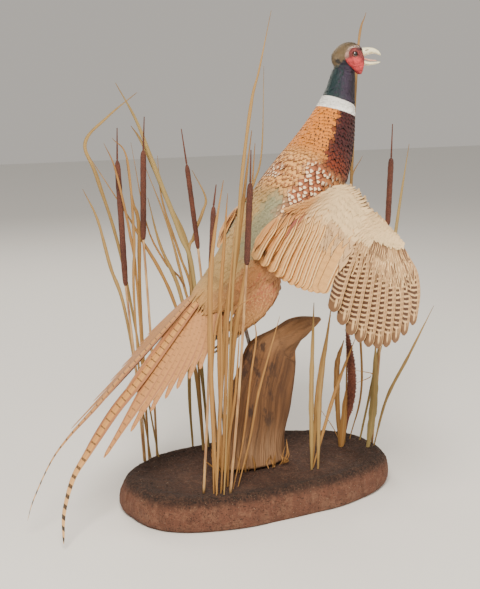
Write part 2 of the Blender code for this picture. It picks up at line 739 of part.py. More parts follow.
def build_tail_side(hand):
    """One slope of the tail: eight graduated feathers, each with its own pointed end."""
    edges = [TAIL_INNER_EDGE]
    for (angle, reach), (next_angle, next_reach) in zip(TAIL_SIDE_FEATHERS, TAIL_SIDE_FEATHERS[1:]):
        edges.append((angle, reach))
        edges.append(((angle + next_angle) / 2, next_reach * TAIL_NOTCH))
    edges += [TAIL_SIDE_FEATHERS[-1], TAIL_OUTER_EDGE]
    columns = []
    for angle, reach in edges:
        turn = math.radians(angle)
        start = TAIL_START / math.cos(turn)
        reaches = [start + (reach - start) * t / TAIL_LENGTHS for t in range(TAIL_LENGTHS + 1)]
        columns.append([roof_point(hand, turn, along, TAIL_UNDER_RIDGE) for along in reaches])
    return sheet("tail_side_" + hand, list(zip(*columns)), TAIL_THICKNESS, "feather_tail")


def build_tail_middle(hand):
    table = TAIL_MIDDLE_PATHS[hand]
    path = [on_tail(reach, sideways, drop) for reach, sideways, drop, _ in table]
    side = 1 if hand == "left" else -1
    slope = ROOF_ANGLE[hand]
    upwards = -TAIL_UNDER * math.cos(slope) + Vector((0, side * math.sin(slope), 0))
    rows = ribbon(path, [row[3] for row in table], upwards, TAIL_FOLD)
    return sheet("tail_middle_" + hand, rows, TAIL_THICKNESS, "feather_tail")


def build_undertail(trunk_cutter):
    left = Vector((0, 1, 0))
    rings = [egg_ring(on_tail(reach, 0, drop), left, -TAIL_UNDER, half, up, down, UNDERTAIL_SIDES)
             for reach, drop, half, up, down in UNDERTAIL_RINGS]
    mesh = loft("undertail_coverts", rings, None, on_tail(UNDERTAIL_TIP[0], 0, UNDERTAIL_TIP[1]))
    wedge = smoothed(add_object("undertail_coverts", mesh, "feather_tail"))
    cut(wedge, trunk_cutter)


# ---------------------------------------------------------------- wings
def wing_edge(span):
    """Leading edge: span 0 to 1 along the arm, 1 to 2 along the hand."""
    if span <= 1:
        return smooth_path(WING_EDGE, EDGE_STEPS + 1)[round(span * EDGE_STEPS)]
    return Vector(WING_EDGE[-1]).lerp(Vector(HAND_END), span - 1)


def wing_tip(span):
    return bezier(SECONDARY_TIPS, span) if span <= 1 else bezier(PRIMARY_TIPS, span - 1)


def wing_point(span, chord, lift=0.0):
    """A place on the wing's curved surface, lifted off it towards its upper side."""
    span = round(span * EDGE_STEPS) / EDGE_STEPS
    edge, tip = wing_edge(span), wing_tip(span)
    hand_share = max(0.0, span - 1)
    out = WING_OUT_ARM.lerp(WING_OUT_HAND, min(1.0, span / 2))
    hump = 4 * chord * (1 - chord)
    return (edge.lerp(tip, chord) + out * (WING_CAMBER * hump + lift)
            + WING_LEAD * (PRIMARY_BOW * hump * hand_share ** 2))


def mirrored(point, hand):
    return Vector((point.x, -point.y, point.z)) if hand == "left" else point


def build_wing_arm(hand, trunk_cutter):
    """Fleshy arm and coverts: thick at the leading edge, thin where the quills come out."""
    rings = []
    for k in range(ARM_STATIONS):
        span = 2 * k / (ARM_STATIONS - 1)
        thinned = ARM_THINNING * max(0.0, span - ARM_THINS_FROM) / (2 - ARM_THINS_FROM)
        body = ARM_THICKNESS * (1 - thinned)
        rings.append([mirrored(wing_point(span, chord, lift * body), hand)
                      for chord, lift in ARM_PROFILE])
    arm = add_object("wing_%s_arm" % hand, loft("wing_arm", rings), "feather_wing")
    cut(arm, trunk_cutter)
    return arm


def build_vanes(hand, name, first, last, count):
    """A row of flight feathers as one scalloped sheet that leaves the coverts' edge."""
    start = VANE_START + QUILL_GAP
    columns = []
    for k in range(2 * count + 1):
        share = k / (2 * count)
        span = first + (last - first) * share
        reach = 1.0 if k % 2 else 1.0 - TIP_SCALLOP
        chords = [start + (reach - start) * c / VANE_CHORDS for c in range(VANE_CHORDS + 1)]
        columns.append([mirrored(wing_point(span, chord), hand) for chord in chords])
    return sheet("wing_%s_%s" % (hand, name), list(zip(*columns)), VANE_THICKNESS, "feather_wing")


def build_wing(hand, trunk_cutter):
    build_wing_arm(hand, trunk_cutter)
    cut(build_vanes(hand, "secondaries", 0.0, 1.0, SECONDARY_COUNT), trunk_cutter)
    build_vanes(hand, "primaries", FIRST_PRIMARY, 2.0, PRIMARY_COUNT)


# ---------------------------------------------------------------- legs
def build_leg(hand, trunk_cutter):
    side = 1 if hand == "left" else -1
    path = [Vector((x, side * y, z)) for x, y, z in THIGH_PATH]
    along = (path[-1] - path[0]).normalized()
    lateral = Vector((0, 1, 0))
    rise = along.cross(lateral).normalized()
    rings = [egg_ring(middle, lateral, rise, thin, tall, tall, THIGH_SIDES)
             for middle, (tall, thin) in zip(path, THIGH_HALF)]
    start, end = THIGH_ENDS
    mesh = loft("thigh", rings, path[0] - along * start, path[-1] + along * end)
    thigh = smoothed(add_object("thigh_" + hand, mesh, "feather_tail"))
    cut(thigh, trunk_cutter)

    heel, ankle = (Vector((x, side * y, z)) for x, y, z in (LEG_HEEL, LEG_ANKLE))
    toes = [Vector((x, side * y, z)) for x, y, z in LEG_TOES]
    shank = limb("leg", (heel, ankle, toes[1]), (LEG_RADIUS, LEG_RADIUS, TOE_RADIUS * 0.5))
    leg = add_object("leg_" + hand, shank, "leg_scale")
    for number, toe in enumerate((toes[0], toes[2]), 1):
        root = ankle.lerp(heel, 0.12)
        other = limb("toe", (root, root.lerp(toe, 0.5) + (ankle - root) * 0.5, toe),
                     (TOE_RADIUS * 0.9, TOE_RADIUS, TOE_RADIUS * 0.5))
        toe_tool = add_object("toe_%s_%d" % (hand, number), other, "leg_scale", cutters)
        toe_tool.hide_render = True
        toe_tool.display_type = "WIRE"
        cut(leg, toe_tool, "UNION")


def build_rod(driftwood, trunk_cutter):
    mesh = limb("support_rod", (ROD_FOOT, ROD_TOP), (ROD_RADIUS, ROD_RADIUS), ROD_SIDES)
    rod = add_object("support_rod", mesh, "steel")
    cut(rod, cutter_from(driftwood, GAP))
    cut(rod, trunk_cutter)


# ---------------------------------------------------------------- reeds
def build_cattail(number, foot, low, top, tip):
    foot, low, top, tip = foot_on_base(*foot), Vector(low), Vector(top), Vector(tip)
    axis = top - low
    stalk_end = low - axis.normalized() * GAP
    path = smooth_path((foot, foot.lerp(stalk_end, 0.5) + STALK_BOW, stalk_end), 5)
    tube("cattail_%d_stalk" % number, path, STALK_RADIUS, "stalk")

    length = axis.length
    whole = length + (tip - top).length
    profile = [(0.0, whole), (SPIKE_TIP_RADIUS, whole), (SPIKE_NECK_RADIUS, length)]
    bands = len(SPIKE_RADII)
    profile += [(radius, length * (1 - k / (bands - 1))) for k, radius in enumerate(SPIKE_RADII)]
    profile.append((0.0, 0.0))
    mesh = bpy.data.meshes.new("spike")
    mesh.from_pydata([(r, 0, h) for r, h in profile], [(i, i + 1) for i in range(len(profile) - 1)], [])
    spike = add_object("cattail_%d_spike" % number, mesh, "cattail_spike")
    turn = spike.modifiers.new("turn", "SCREW")
    turn.steps = SPIKE_SIDES
    turn.render_steps = SPIKE_SIDES
    turn.use_merge_vertices = True
    turn.merge_threshold = 0.0001
    spike.location = low
    spike.rotation_euler = axis.to_track_quat("Z", "Y").to_euler()


def build_leaf(name, half_width, foot, *bends):
    points = [foot_on_base(*foot)] + [Vector(b) for b in bends]
    path = smooth_path(points, LEAF_LENGTHS + 1)
    halves = []
    for k in range(LEAF_LENGTHS + 1):
        share = k / LEAF_LENGTHS
        halves.append(half_width * (0.75 + 0.5 * math.sin(math.pi * share * 0.8)) * (1 - 0.86 * share ** 3))
    sheet(name, ribbon(path, halves, LEAF_FACING, LEAF_FOLD), LEAF_THICKNESS, "dry_leaf")


def build_dock():
    """Seed spike of a dock, standing by the stump."""
    foot = foot_on_base(*DOCK_FOOT)
    across = LEAF_FACING.cross(Vector((0, 0, 1))).normalized()
    depth = Vector((0, 0, 1)).cross(across)
    rings = []
    for radius, share in DOCK_PROFILE:
        bow = across * (-DOCK_BOW * math.sin(math.pi * share))
        middle = foot.lerp(DOCK_TOP, share) + bow
        rings.append(round_ring(middle, across * radius, depth * radius, DOCK_SIDES))
    add_object("dock_spike", loft("dock_spike", rings, None, DOCK_TOP), "cattail_spike")


# ---------------------------------------------------------------- assembly
def build():
    global pheasant, cutters
    clear_scene()
    pheasant = new_collection("pheasant_mount")
    cutters = new_collection("cutters")

    build_base()
    driftwood = build_driftwood()
    head = build_head()
    build_bill()
    trunk = build_trunk_and_neck(head)
    trunk_cutter = cutter_from(trunk, GAP)
    build_undertail(trunk_cutter)
    for hand in ("right", "left"):
        build_wing(hand, trunk_cutter)
        build_leg(hand, trunk_cutter)
        build_tail_side(hand)
        build_tail_middle(hand)

    build_rod(driftwood, trunk_cutter)
    for number, cattail in enumerate(CATTAILS, 1):
        build_cattail(number, *cattail)
    for name, leaf in LEAVES.items():
        build_leaf(name, *leaf)
    build_dock()


build()
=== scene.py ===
"""Cock ring-necked pheasant mount: plumage, bare parts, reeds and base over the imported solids.

Metres, +Z up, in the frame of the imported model. The bird heads along +X and its
left side is +Y. Every class builds one part of the mount and dresses it.
"""

import logging
import math
from dataclasses import dataclass, field
from enum import Enum
from typing import Any, Callable, Iterable, Iterator, Sequence, Union

import bmesh
import bpy
import numpy as np
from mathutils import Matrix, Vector
from mathutils.bvhtree import BVHTree


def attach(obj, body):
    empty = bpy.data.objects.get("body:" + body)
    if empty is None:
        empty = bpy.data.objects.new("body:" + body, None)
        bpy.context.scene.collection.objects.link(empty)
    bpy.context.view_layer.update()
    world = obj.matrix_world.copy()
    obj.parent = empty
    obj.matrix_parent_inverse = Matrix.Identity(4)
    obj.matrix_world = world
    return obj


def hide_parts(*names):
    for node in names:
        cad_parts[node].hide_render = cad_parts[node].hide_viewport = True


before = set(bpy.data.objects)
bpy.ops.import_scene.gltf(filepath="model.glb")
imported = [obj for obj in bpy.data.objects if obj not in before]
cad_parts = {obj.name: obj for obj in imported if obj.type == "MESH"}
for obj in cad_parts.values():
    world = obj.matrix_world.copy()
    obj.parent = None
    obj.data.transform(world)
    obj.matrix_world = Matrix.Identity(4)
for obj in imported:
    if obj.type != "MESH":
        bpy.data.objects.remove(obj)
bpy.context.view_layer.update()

log = logging.getLogger("pheasant")
Number = Union[float, "Sock"]
Colour = tuple[float, float, float]
UP = np.array([0.0, 0.0, 1.0])
EARTH_TOP = 0.0445  # where stems leave the earth
FULL_TURN = 6.283


# ---------------------------------------------------------------- node trees
class Sock:
    """A node's output that takes part in Python arithmetic."""

    def __init__(self, graph: "Graph", socket: Any) -> None:
        """Wraps an output.

        Args:
            graph: the tree that the output belongs to.
            socket: the output itself.
        """
        self.graph = graph
        self.socket = socket

    def also(self, name: Union[str, int]) -> "Sock":
        """Another output of the same node."""
        return Sock(self.graph, self.socket.node.outputs[name])

    def __add__(self, other: Number) -> "Sock":
        """Sum."""
        return self.graph.math("ADD", self, other)

    __radd__ = __add__

    def __sub__(self, other: Number) -> "Sock":
        """Difference."""
        return self.graph.math("SUBTRACT", self, other)

    def __rsub__(self, other: Number) -> "Sock":
        """Difference with this value taken away."""
        return self.graph.math("SUBTRACT", other, self)

    def __mul__(self, other: Number) -> "Sock":
        """Product."""
        return self.graph.math("MULTIPLY", self, other)

    __rmul__ = __mul__

    def __truediv__(self, other: Number) -> "Sock":
        """Quotient."""
        return self.graph.math("DIVIDE", self, other)

    def __rtruediv__(self, other: Number) -> "Sock":
        """Quotient with this value below."""
        return self.graph.math("DIVIDE", other, self)

    def __pow__(self, other: Number) -> "Sock":
        """Power."""
        return self.graph.math("POWER", self, other)

    def __neg__(self) -> "Sock":
        """Opposite."""
        return self.graph.math("MULTIPLY", self, -1.0)

    def __abs__(self) -> "Sock":
        """Size without sign."""
        return self.graph.math("ABSOLUTE", self)


class Graph:
    """Builds a shader tree or a geometry tree, one node at a time."""

    def __init__(self, tree: Any) -> None:
        """Keeps the tree to build in."""
        self.tree = tree

    def feed(self, socket: Any, value: Any) -> None:
        """Links or sets one input.

        Args:
            socket: the input.
            value: a Sock, a number, a tuple or a name.
        """
        if isinstance(value, Sock):
            self.tree.links.new(value.socket, socket)
        elif socket.type == "RGBA" and len(value) == 3:
            socket.default_value = (*value, 1.0)
        else:
            socket.default_value = value

    def node(self, kind: str, settings: dict | None = None, values: dict | None = None,
             output: Union[str, int] = 0) -> Sock:
        """Adds any node.

        Args:
            kind: the node's type.
            settings: its own settings, set first.
            values: numbers or links by input name or index.
            output: the output to return.

        Returns:
            The output that was asked for.
        """
        made = self.tree.nodes.new(kind)
        for name, value in (settings or {}).items():
            setattr(made, name, value)
        for key, value in (values or {}).items():
            self.feed(made.inputs[key], value)
        return Sock(self, made.outputs[output])

    def math(self, operation: str, *terms: Number) -> Sock:
        """A Math node on up to three values."""
        return self.node("ShaderNodeMath", {"operation": operation}, dict(enumerate(terms)))

    def vector(self, operation: str, *terms: Any, output: int = 0) -> Sock:
        """A Vector Math node on up to three vectors."""
        return self.node("ShaderNodeVectorMath", {"operation": operation}, dict(enumerate(terms)), output)

    def scaled(self, vector: Any, amount: Number) -> Sock:
        """A vector made longer or shorter."""
        return self.node("ShaderNodeVectorMath", {"operation": "SCALE"}, {0: vector, "Scale": amount})

    def mix(self, first: Any, second: Any, share: Number) -> Sock:
        """A colour between two others."""
        values = {0: share, 6: first, 7: second}
        return self.node("ShaderNodeMix", {"data_type": "RGBA"}, values, 2)

    def layers(self, colour: Any, *coats: tuple[Any, Number]) -> Sock:
        """A colour under others, each laid on by its own share.

        Args:
            colour: the lowest colour.
            coats: colours and their shares, lowest first.

        Returns:
            The blend.
        """
        for coat, share in coats:
            colour = self.mix(colour, coat, share)
        return colour

    def tinted(self, colour: Any, amount: Number) -> Sock:
        """A colour made darker or lighter by a value."""
        grey = self.node("ShaderNodeCombineXYZ", None, {0: amount, 1: amount, 2: amount})
        return self.vector("MULTIPLY", colour, grey)

    def ease(self, value: Number, low: Number, high: Number) -> Sock:
        """0 below low, 1 above high, and smooth between them."""
        values = {"Value": value, "From Min": low, "From Max": high}
        return self.node("ShaderNodeMapRange", {"interpolation_type": "SMOOTHSTEP"}, values)

    def noise(self, place: Any, scale: float, detail: float = 2.0, roughness: float = 0.5,
              distortion: float = 0.0) -> Sock:
        """Soft random value between 0 and 1.

        Args:
            place: where it is read.
            scale: how many lumps to a metre.
            detail: how many finer layers.
            roughness: how strong the finer ones are.
            distortion: how far it is pulled about.

        Returns:
            The value.
        """
        values = {"Vector": place, "Scale": scale, "Detail": detail, "Roughness": roughness,
                  "Distortion": distortion}
        return self.node("ShaderNodeTexNoise", None, values)

    def xyz(self, x: Number, y: Number, z: Number) -> Sock:
        """A vector from three values."""
        return self.node("ShaderNodeCombineXYZ", None, {0: x, 1: y, 2: z})

    def split(self, vector: Sock) -> tuple[Sock, Sock, Sock]:
        """The three values of a vector."""
        x = self.node("ShaderNodeSeparateXYZ", None, {0: vector})
        return x, x.also(1), x.also(2)


class Growth:
    """A Geometry Nodes tree with named inputs, which ends in realised and dressed mesh."""

    def __init__(self, name: str, sizes: dict[str, Union[int, float]]) -> None:
        """Opens the tree.

        Args:
            name: the tree's name.
            sizes: named inputs and their usual values.
        """
        self.tree = bpy.data.node_groups.new(name, "GeometryNodeTree")
        self.graph = Graph(self.tree)
        self.keys: dict[str, str] = {}
        sides = self.tree.interface
        sides.new_socket("Geometry", in_out="INPUT", socket_type="NodeSocketGeometry")
        for label, value in sizes.items():
            kind = "NodeSocketInt" if isinstance(value, int) else "NodeSocketFloat"
            socket = sides.new_socket(label, in_out="INPUT", socket_type=kind)
            socket.default_value = value
            self.keys[label] = socket.identifier
        finish = sides.new_socket("Finish", in_out="INPUT", socket_type="NodeSocketMaterial")
        self.keys["Finish"] = finish.identifier
        sides.new_socket("Geometry", in_out="OUTPUT", socket_type="NodeSocketGeometry")
        self.entry = self.tree.nodes.new("NodeGroupInput")

    def given(self, label: str) -> Sock:
        """A named input."""
        return Sock(self.graph, self.entry.outputs[label])

    def kept(self, name: str, kind: str = "FLOAT_VECTOR") -> Sock:
        """An attribute of the geometry, by name."""
        return self.graph.node("GeometryNodeInputNamedAttribute", {"data_type": kind}, {"Name": name})

    def keep(self, geometry: Sock, name: str, value: Any, kind: str = "FLOAT_VECTOR",
             domain: str = "POINT") -> Sock:
        """Stores an attribute on the geometry.

        Args:
            geometry: what carries it.
            name: its name.
            value: what is stored.
            kind: its type.
            domain: whether points, edges, faces or corners hold it.

        Returns:
            The geometry with it.
        """
        settings = {"data_type": kind, "domain": domain}
        values = {"Geometry": geometry, "Name": name, "Value": value}
        return self.graph.node("GeometryNodeStoreNamedAttribute", settings, values)

    def join(self, *parts: Sock) -> Sock:
        """Several geometries as one.

        Args:
            parts: the geometries.

        Returns:
            All of them together.
        """
        both = self.graph.node("GeometryNodeJoinGeometry")
        for part in parts:
            self.tree.links.new(part.socket, both.socket.node.inputs[0])
        return both

    def scatter(self, ground: Sock, lowest: float, radius: float, least: Colour, most: Colour) -> Sock:
        """Strews small uneven lumps over a surface, by the inputs Density and Seed.

        Args:
            ground: the surface.
            lowest: the height that the lumps start from.
            radius: usual radius of a lump.
            least: smallest size on each axis, as a share of the usual one.
            most: largest size on each axis.

        Returns:
            The surface and its lumps.
        """
        g = self.graph
        _, _, z = g.split(g.node("GeometryNodeInputPosition"))
        spots = g.node("GeometryNodeDistributePointsOnFaces", None,
                       {"Mesh": ground, "Density": self.given("Density"), "Seed": self.given("Seed"),
                        "Selection": g.math("GREATER_THAN", z, lowest)})
        lump = g.node("GeometryNodeMeshIcoSphere", None, {"Radius": radius, "Subdivisions": 1})
        size = g.node("FunctionNodeRandomValue", {"data_type": "FLOAT_VECTOR"}, {"Min": least, "Max": most})
        many = g.node("GeometryNodeInstanceOnPoints", None,
                      {"Points": spots, "Instance": lump, "Scale": size, "Rotation": spots.also("Rotation")})
        return self.join(many, ground)

    def without(self, geometry: Sock, *names: str) -> Sock:
        """The geometry without the attributes that only its tree needed.

        Args:
            geometry: what carries them.
            names: the attributes.

        Returns:
            What is left.
        """
        for name in names:
            values = {"Geometry": geometry, "Name": name}
            geometry = self.graph.node("GeometryNodeRemoveAttribute", None, values)
        return geometry

    def close(self, geometry: Sock) -> None:
        """Realises, smooths and dresses the result, and ends the tree.

        Args:
            geometry: the result.
        """
        real = self.graph.node("GeometryNodeRealizeInstances", None, {"Geometry": geometry})
        soft = self.graph.node("GeometryNodeSetShadeSmooth", None, {"Geometry": real})
        dressed = self.graph.node("GeometryNodeSetMaterial", None,
                                  {"Geometry": soft, "Material": self.given("Finish")})
        leave = self.tree.nodes.new("NodeGroupOutput")
        self.graph.feed(leave.inputs[0], dressed)

    def grow(self, carrier: bpy.types.Object, name: str, finish: "Finish",
             sizes: dict[str, Union[int, float]] | None = None) -> bpy.types.Object:
        """Grows the tree on a carrier and returns the plain mesh.

        Args:
            carrier: the object that the tree reads; it is used up.
            name: the new piece's name.
            finish: what the piece is dressed in.
            sizes: inputs that differ from their usual values.

        Returns:
            The finished piece.
        """
        modifier = carrier.modifiers.new("growth", "NODES")
        modifier.node_group = self.tree
        modifier[self.keys["Finish"]] = finish.material()
        for label, value in (sizes or {}).items():
            modifier[self.keys[label]] = value
        graph = bpy.context.evaluated_depsgraph_get()
        mesh = bpy.data.meshes.new_from_object(carrier.evaluated_get(graph))
        bpy.data.objects.remove(carrier)
        mesh.name = name
        for spare in [a.name for a in mesh.attributes if a.name in ("uv_map", "at")]:
            mesh.attributes.remove(mesh.attributes[spare])
        return link(name, mesh)


def ride(piece: bpy.types.Object, slot: str, *nodes: str) -> bpy.types.Object:
    """Hands a finished piece to the frame.

    Args:
        piece: the finished object.
        slot: the record's material slot; not used.
        nodes: the solids that it stands for.

    Returns:
        The same piece.
    """
    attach(piece, "root")
    if nodes:
        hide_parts(*nodes)
    piece.data.calc_loop_triangles()
    log.info("%s: %d triangles", piece.name, len(piece.data.loop_triangles))
    return piece


def link(name: str, mesh: bpy.types.Mesh, finish: "Finish | None" = None) -> bpy.types.Object:
    """Puts a mesh in the scene as an object, dressed if a finish is given.

    Args:
        name: the object's name.
        mesh: its mesh.
        finish: its finish, if not that of the mesh.

    Returns:
        The object.
    """
    piece = bpy.data.objects.new(name, mesh)
    bpy.context.scene.collection.objects.link(piece)
    if finish:
        mesh.materials.clear()
        mesh.materials.append(finish.material())
    return piece


def carrier(name: str, points: np.ndarray, edges: Sequence[tuple[int, int]],
            kept: dict[str, np.ndarray]) -> bpy.types.Object:
    """Loose points or lines for a growth to read.

    Args:
        name: the object's name.
        points: where the points are.
        edges: pairs of points that are joined.
        kept: numbers or vectors kept on the points, by name.

    Returns:
        The object.
    """
    mesh = bpy.data.meshes.new(name)
    mesh.from_pydata([tuple(p) for p in points], edges, [])
    for key, values in kept.items():
        kind, slot = ("FLOAT_VECTOR", "vector") if values.ndim == 2 else ("FLOAT", "value")
        stored = mesh.attributes.new(key, kind, "POINT")
        stored.data.foreach_set(slot, values.astype(np.float32).ravel())
    return link(name, mesh)


def colour_in(mesh: bpy.types.Mesh, colours: np.ndarray) -> None:
    """Keeps a ground colour for each vertex."""
    layer = mesh.attributes.new("ground", "FLOAT_COLOR", "POINT")
    layer.data.foreach_set("color", np.hstack([colours, np.ones((len(colours), 1))]).ravel())


def places_of(mesh: bpy.types.Mesh) -> np.ndarray:
    """Where the vertices are.

    Args:
        mesh: the mesh.

    Returns:
        One row for each vertex.
    """
    place = np.empty(len(mesh.vertices) * 3)
    mesh.vertices.foreach_get("co", place)
    return place.reshape(-1, 3)


def outwards(mesh: bpy.types.Mesh, merge: float = 0.0) -> bpy.types.Mesh:
    """Joins vertices nearer than a distance, if one is given, and turns the faces outwards.

    Args:
        mesh: the mesh.
        merge: the distance, or 0 to join nothing.

    Returns:
        The same mesh.
    """
    work = bmesh.new()
    work.from_mesh(mesh)
    if merge:
        bmesh.ops.remove_doubles(work, verts=work.verts, dist=merge)
    bmesh.ops.recalc_face_normals(work, faces=work.faces)
    work.to_mesh(mesh)
    work.free()
    return mesh


def solid(name: str, points: np.ndarray, faces: Sequence[Sequence[int]],
          smooth: bool = True) -> bpy.types.Mesh:
    """A mesh whose faces all point outwards.

    Args:
        name: the mesh's name.
        points: its vertices.
        faces: its faces, by vertex numbers.
        smooth: shades it smooth.

    Returns:
        The mesh.
    """
    mesh = bpy.data.meshes.new(name)
    mesh.from_pydata([tuple(p) for p in points], [], [tuple(f) for f in faces])
    outwards(mesh, 0.000005)
    if smooth:
        mesh.shade_smooth()
    return mesh


def applied(piece: bpy.types.Object) -> bpy.types.Object:
    """Turns the modifiers of a piece into plain mesh.

    Args:
        piece: the piece.

    Returns:
        The same piece.
    """
    graph = bpy.context.evaluated_depsgraph_get()
    mesh = bpy.data.meshes.new_from_object(piece.evaluated_get(graph))
    piece.modifiers.clear()
    piece.data = mesh
    return piece


def loft(name: str, rings: Sequence[np.ndarray], start: Any = None, end: Any = None,
         looped: bool = False) -> bpy.types.Mesh:
    """Closed skin over rings of equal count.

    Args:
        name: the mesh's name.
        rings: arrays of points, one row of the skin each.
        start: a pole before the first ring, or None for a flat end.
        end: a pole after the last ring, or None for a flat end.
        looped: joins the last ring to the first instead of closing the ends.

    Returns:
        The mesh.
    """
    sides = len(rings[0])
    points = list(np.concatenate(rings))
    faces: list[tuple[int, ...]] = []
    for r in range(len(rings) - (not looped)):
        for s in range(sides):
            a, b = s, (s + 1) % sides
            low, high = r * sides, (r + 1) % len(rings) * sides
            faces.append((low + a, low + b, high + b, high + a))
    last = (len(rings) - 1) * sides
    for first, pole in () if looped else ((0, start), (last, end)):
        if pole is None:
            faces.append(tuple(first + s for s in range(sides)))
            continue
        points.append(np.array(pole, float))
        tip = len(points) - 1
        faces += [(first + s, first + (s + 1) % sides, tip) for s in range(sides)]
    return solid(name, np.array(points), faces)


# ---------------------------------------------------------------- number tools
def ease(value: Any, low: float, high: float) -> np.ndarray:
    """0 below low, 1 above high, and smooth between them, for arrays."""
    t = np.clip((np.asarray(value, float) - low) / (high - low), 0, 1)
    return t * t * (3 - 2 * t)


def blend(first: Any, second: Any, share: Any) -> np.ndarray:
    """Between two rows of vectors, by a share for each row."""
    return np.asarray(first) + (np.asarray(second) - np.asarray(first)) * np.asarray(share)[..., None]


def unit(vectors: np.ndarray) -> np.ndarray:
    """Vectors of length one."""
    return vectors / np.maximum(np.linalg.norm(vectors, axis=-1, keepdims=True), 1e-12)


def level(ways: np.ndarray, across: np.ndarray) -> np.ndarray:
    """Ways of length one with their part along another way taken out."""
    return unit(ways - across * np.einsum("ij,ij->i", ways, across)[:, None])


def staggered(count: int, row: int, jitter: float, random: np.random.Generator) -> Iterator[float]:
    """Turns round a form for one row of feathers, set between those of the row before."""
    for k in range(count):
        yield 2 * math.pi * (k + 0.5 * (row % 2) + random.normal(0, jitter)) / count


def curve_through(points: Any, at: Any) -> np.ndarray:
    """Catmull-Rom curve through points.

    Args:
        points: the points, one row each.
        at: shares of the curve from 0 to 1.

    Returns:
        A point for each share.
    """
    p = np.asarray(points, float)
    p = np.concatenate([[2 * p[0] - p[1]], p, [2 * p[-1] - p[-2]]])
    t = np.atleast_1d(np.asarray(at, float)) * (len(p) - 3)
    i = np.minimum(t.astype(int), len(p) - 4)
    t = (t - i)[:, None]
    a, b, c, d = p[i], p[i + 1], p[i + 2], p[i + 3]
    return 0.5 * (2 * b + (c - a) * t + (2 * a - 5 * b + 4 * c - d) * t ** 2
                  + (3 * b - a - 3 * c + d) * t ** 3)


def bezier(points: Any, at: Any) -> np.ndarray:
    """Quadratic Bezier curve, read at shares from 0 to 1.

    Args:
        points: start, pull and end.
        at: the shares.

    Returns:
        A point for each share.
    """
    a, b, c = np.asarray(points, float)
    t = np.atleast_1d(np.asarray(at, float))[:, None]
    return a * (1 - t) ** 2 + b * (2 * t * (1 - t)) + c * t ** 2


# ---------------------------------------------------------------- finishes
AGED, WHITE = (1.03, 0.90, 0.70), (0.95, 0.94, 0.91)


@dataclass(frozen=True)
class Finish:
    """What a surface is made of; each kind paints its own shader."""

    name: str
    roughness: float = 0.6

    def material(self) -> bpy.types.Material:
        """The material, made the first time that it is asked for.

        Returns:
            The material.
        """
        name = f"{self.name}_finish"
        made = bpy.data.materials.get(name)
        if made:
            return made
        made = bpy.data.materials.new(name)
        made.use_nodes = True
        graph = Graph(made.node_tree)
        shader = made.node_tree.nodes["Principled BSDF"].inputs
        shader["Roughness"].default_value = self.roughness
        self.paint(graph, shader)
        return made

    def paint(self, graph: Graph, shader: Any) -> None:
        """Fills the shader's inputs; each finish has its own way."""

    @staticmethod
    def place(graph: Graph) -> Sock:
        """Where a point of the surface is, in metres."""
        return graph.node("ShaderNodeTexCoord", output="Object")

    @staticmethod
    def stored(graph: Graph, name: str) -> Sock:
        """A colour or vector kept on the mesh."""
        return graph.node("ShaderNodeAttribute", {"attribute_name": name})

    @staticmethod
    def chart(graph: Graph, name: str = "vane") -> Sock:
        """The piece's own map."""
        return graph.node("ShaderNodeUVMap", {"uv_map": name})

    @staticmethod
    def relief(graph: Graph, shader: Any, height: Sock, depth: float, strength: float = 1.0) -> None:
        """Raises the surface by a height."""
        bump = graph.node("ShaderNodeBump", None, {"Height": height, "Distance": depth, "Strength": strength})
        graph.feed(shader["Normal"], bump)


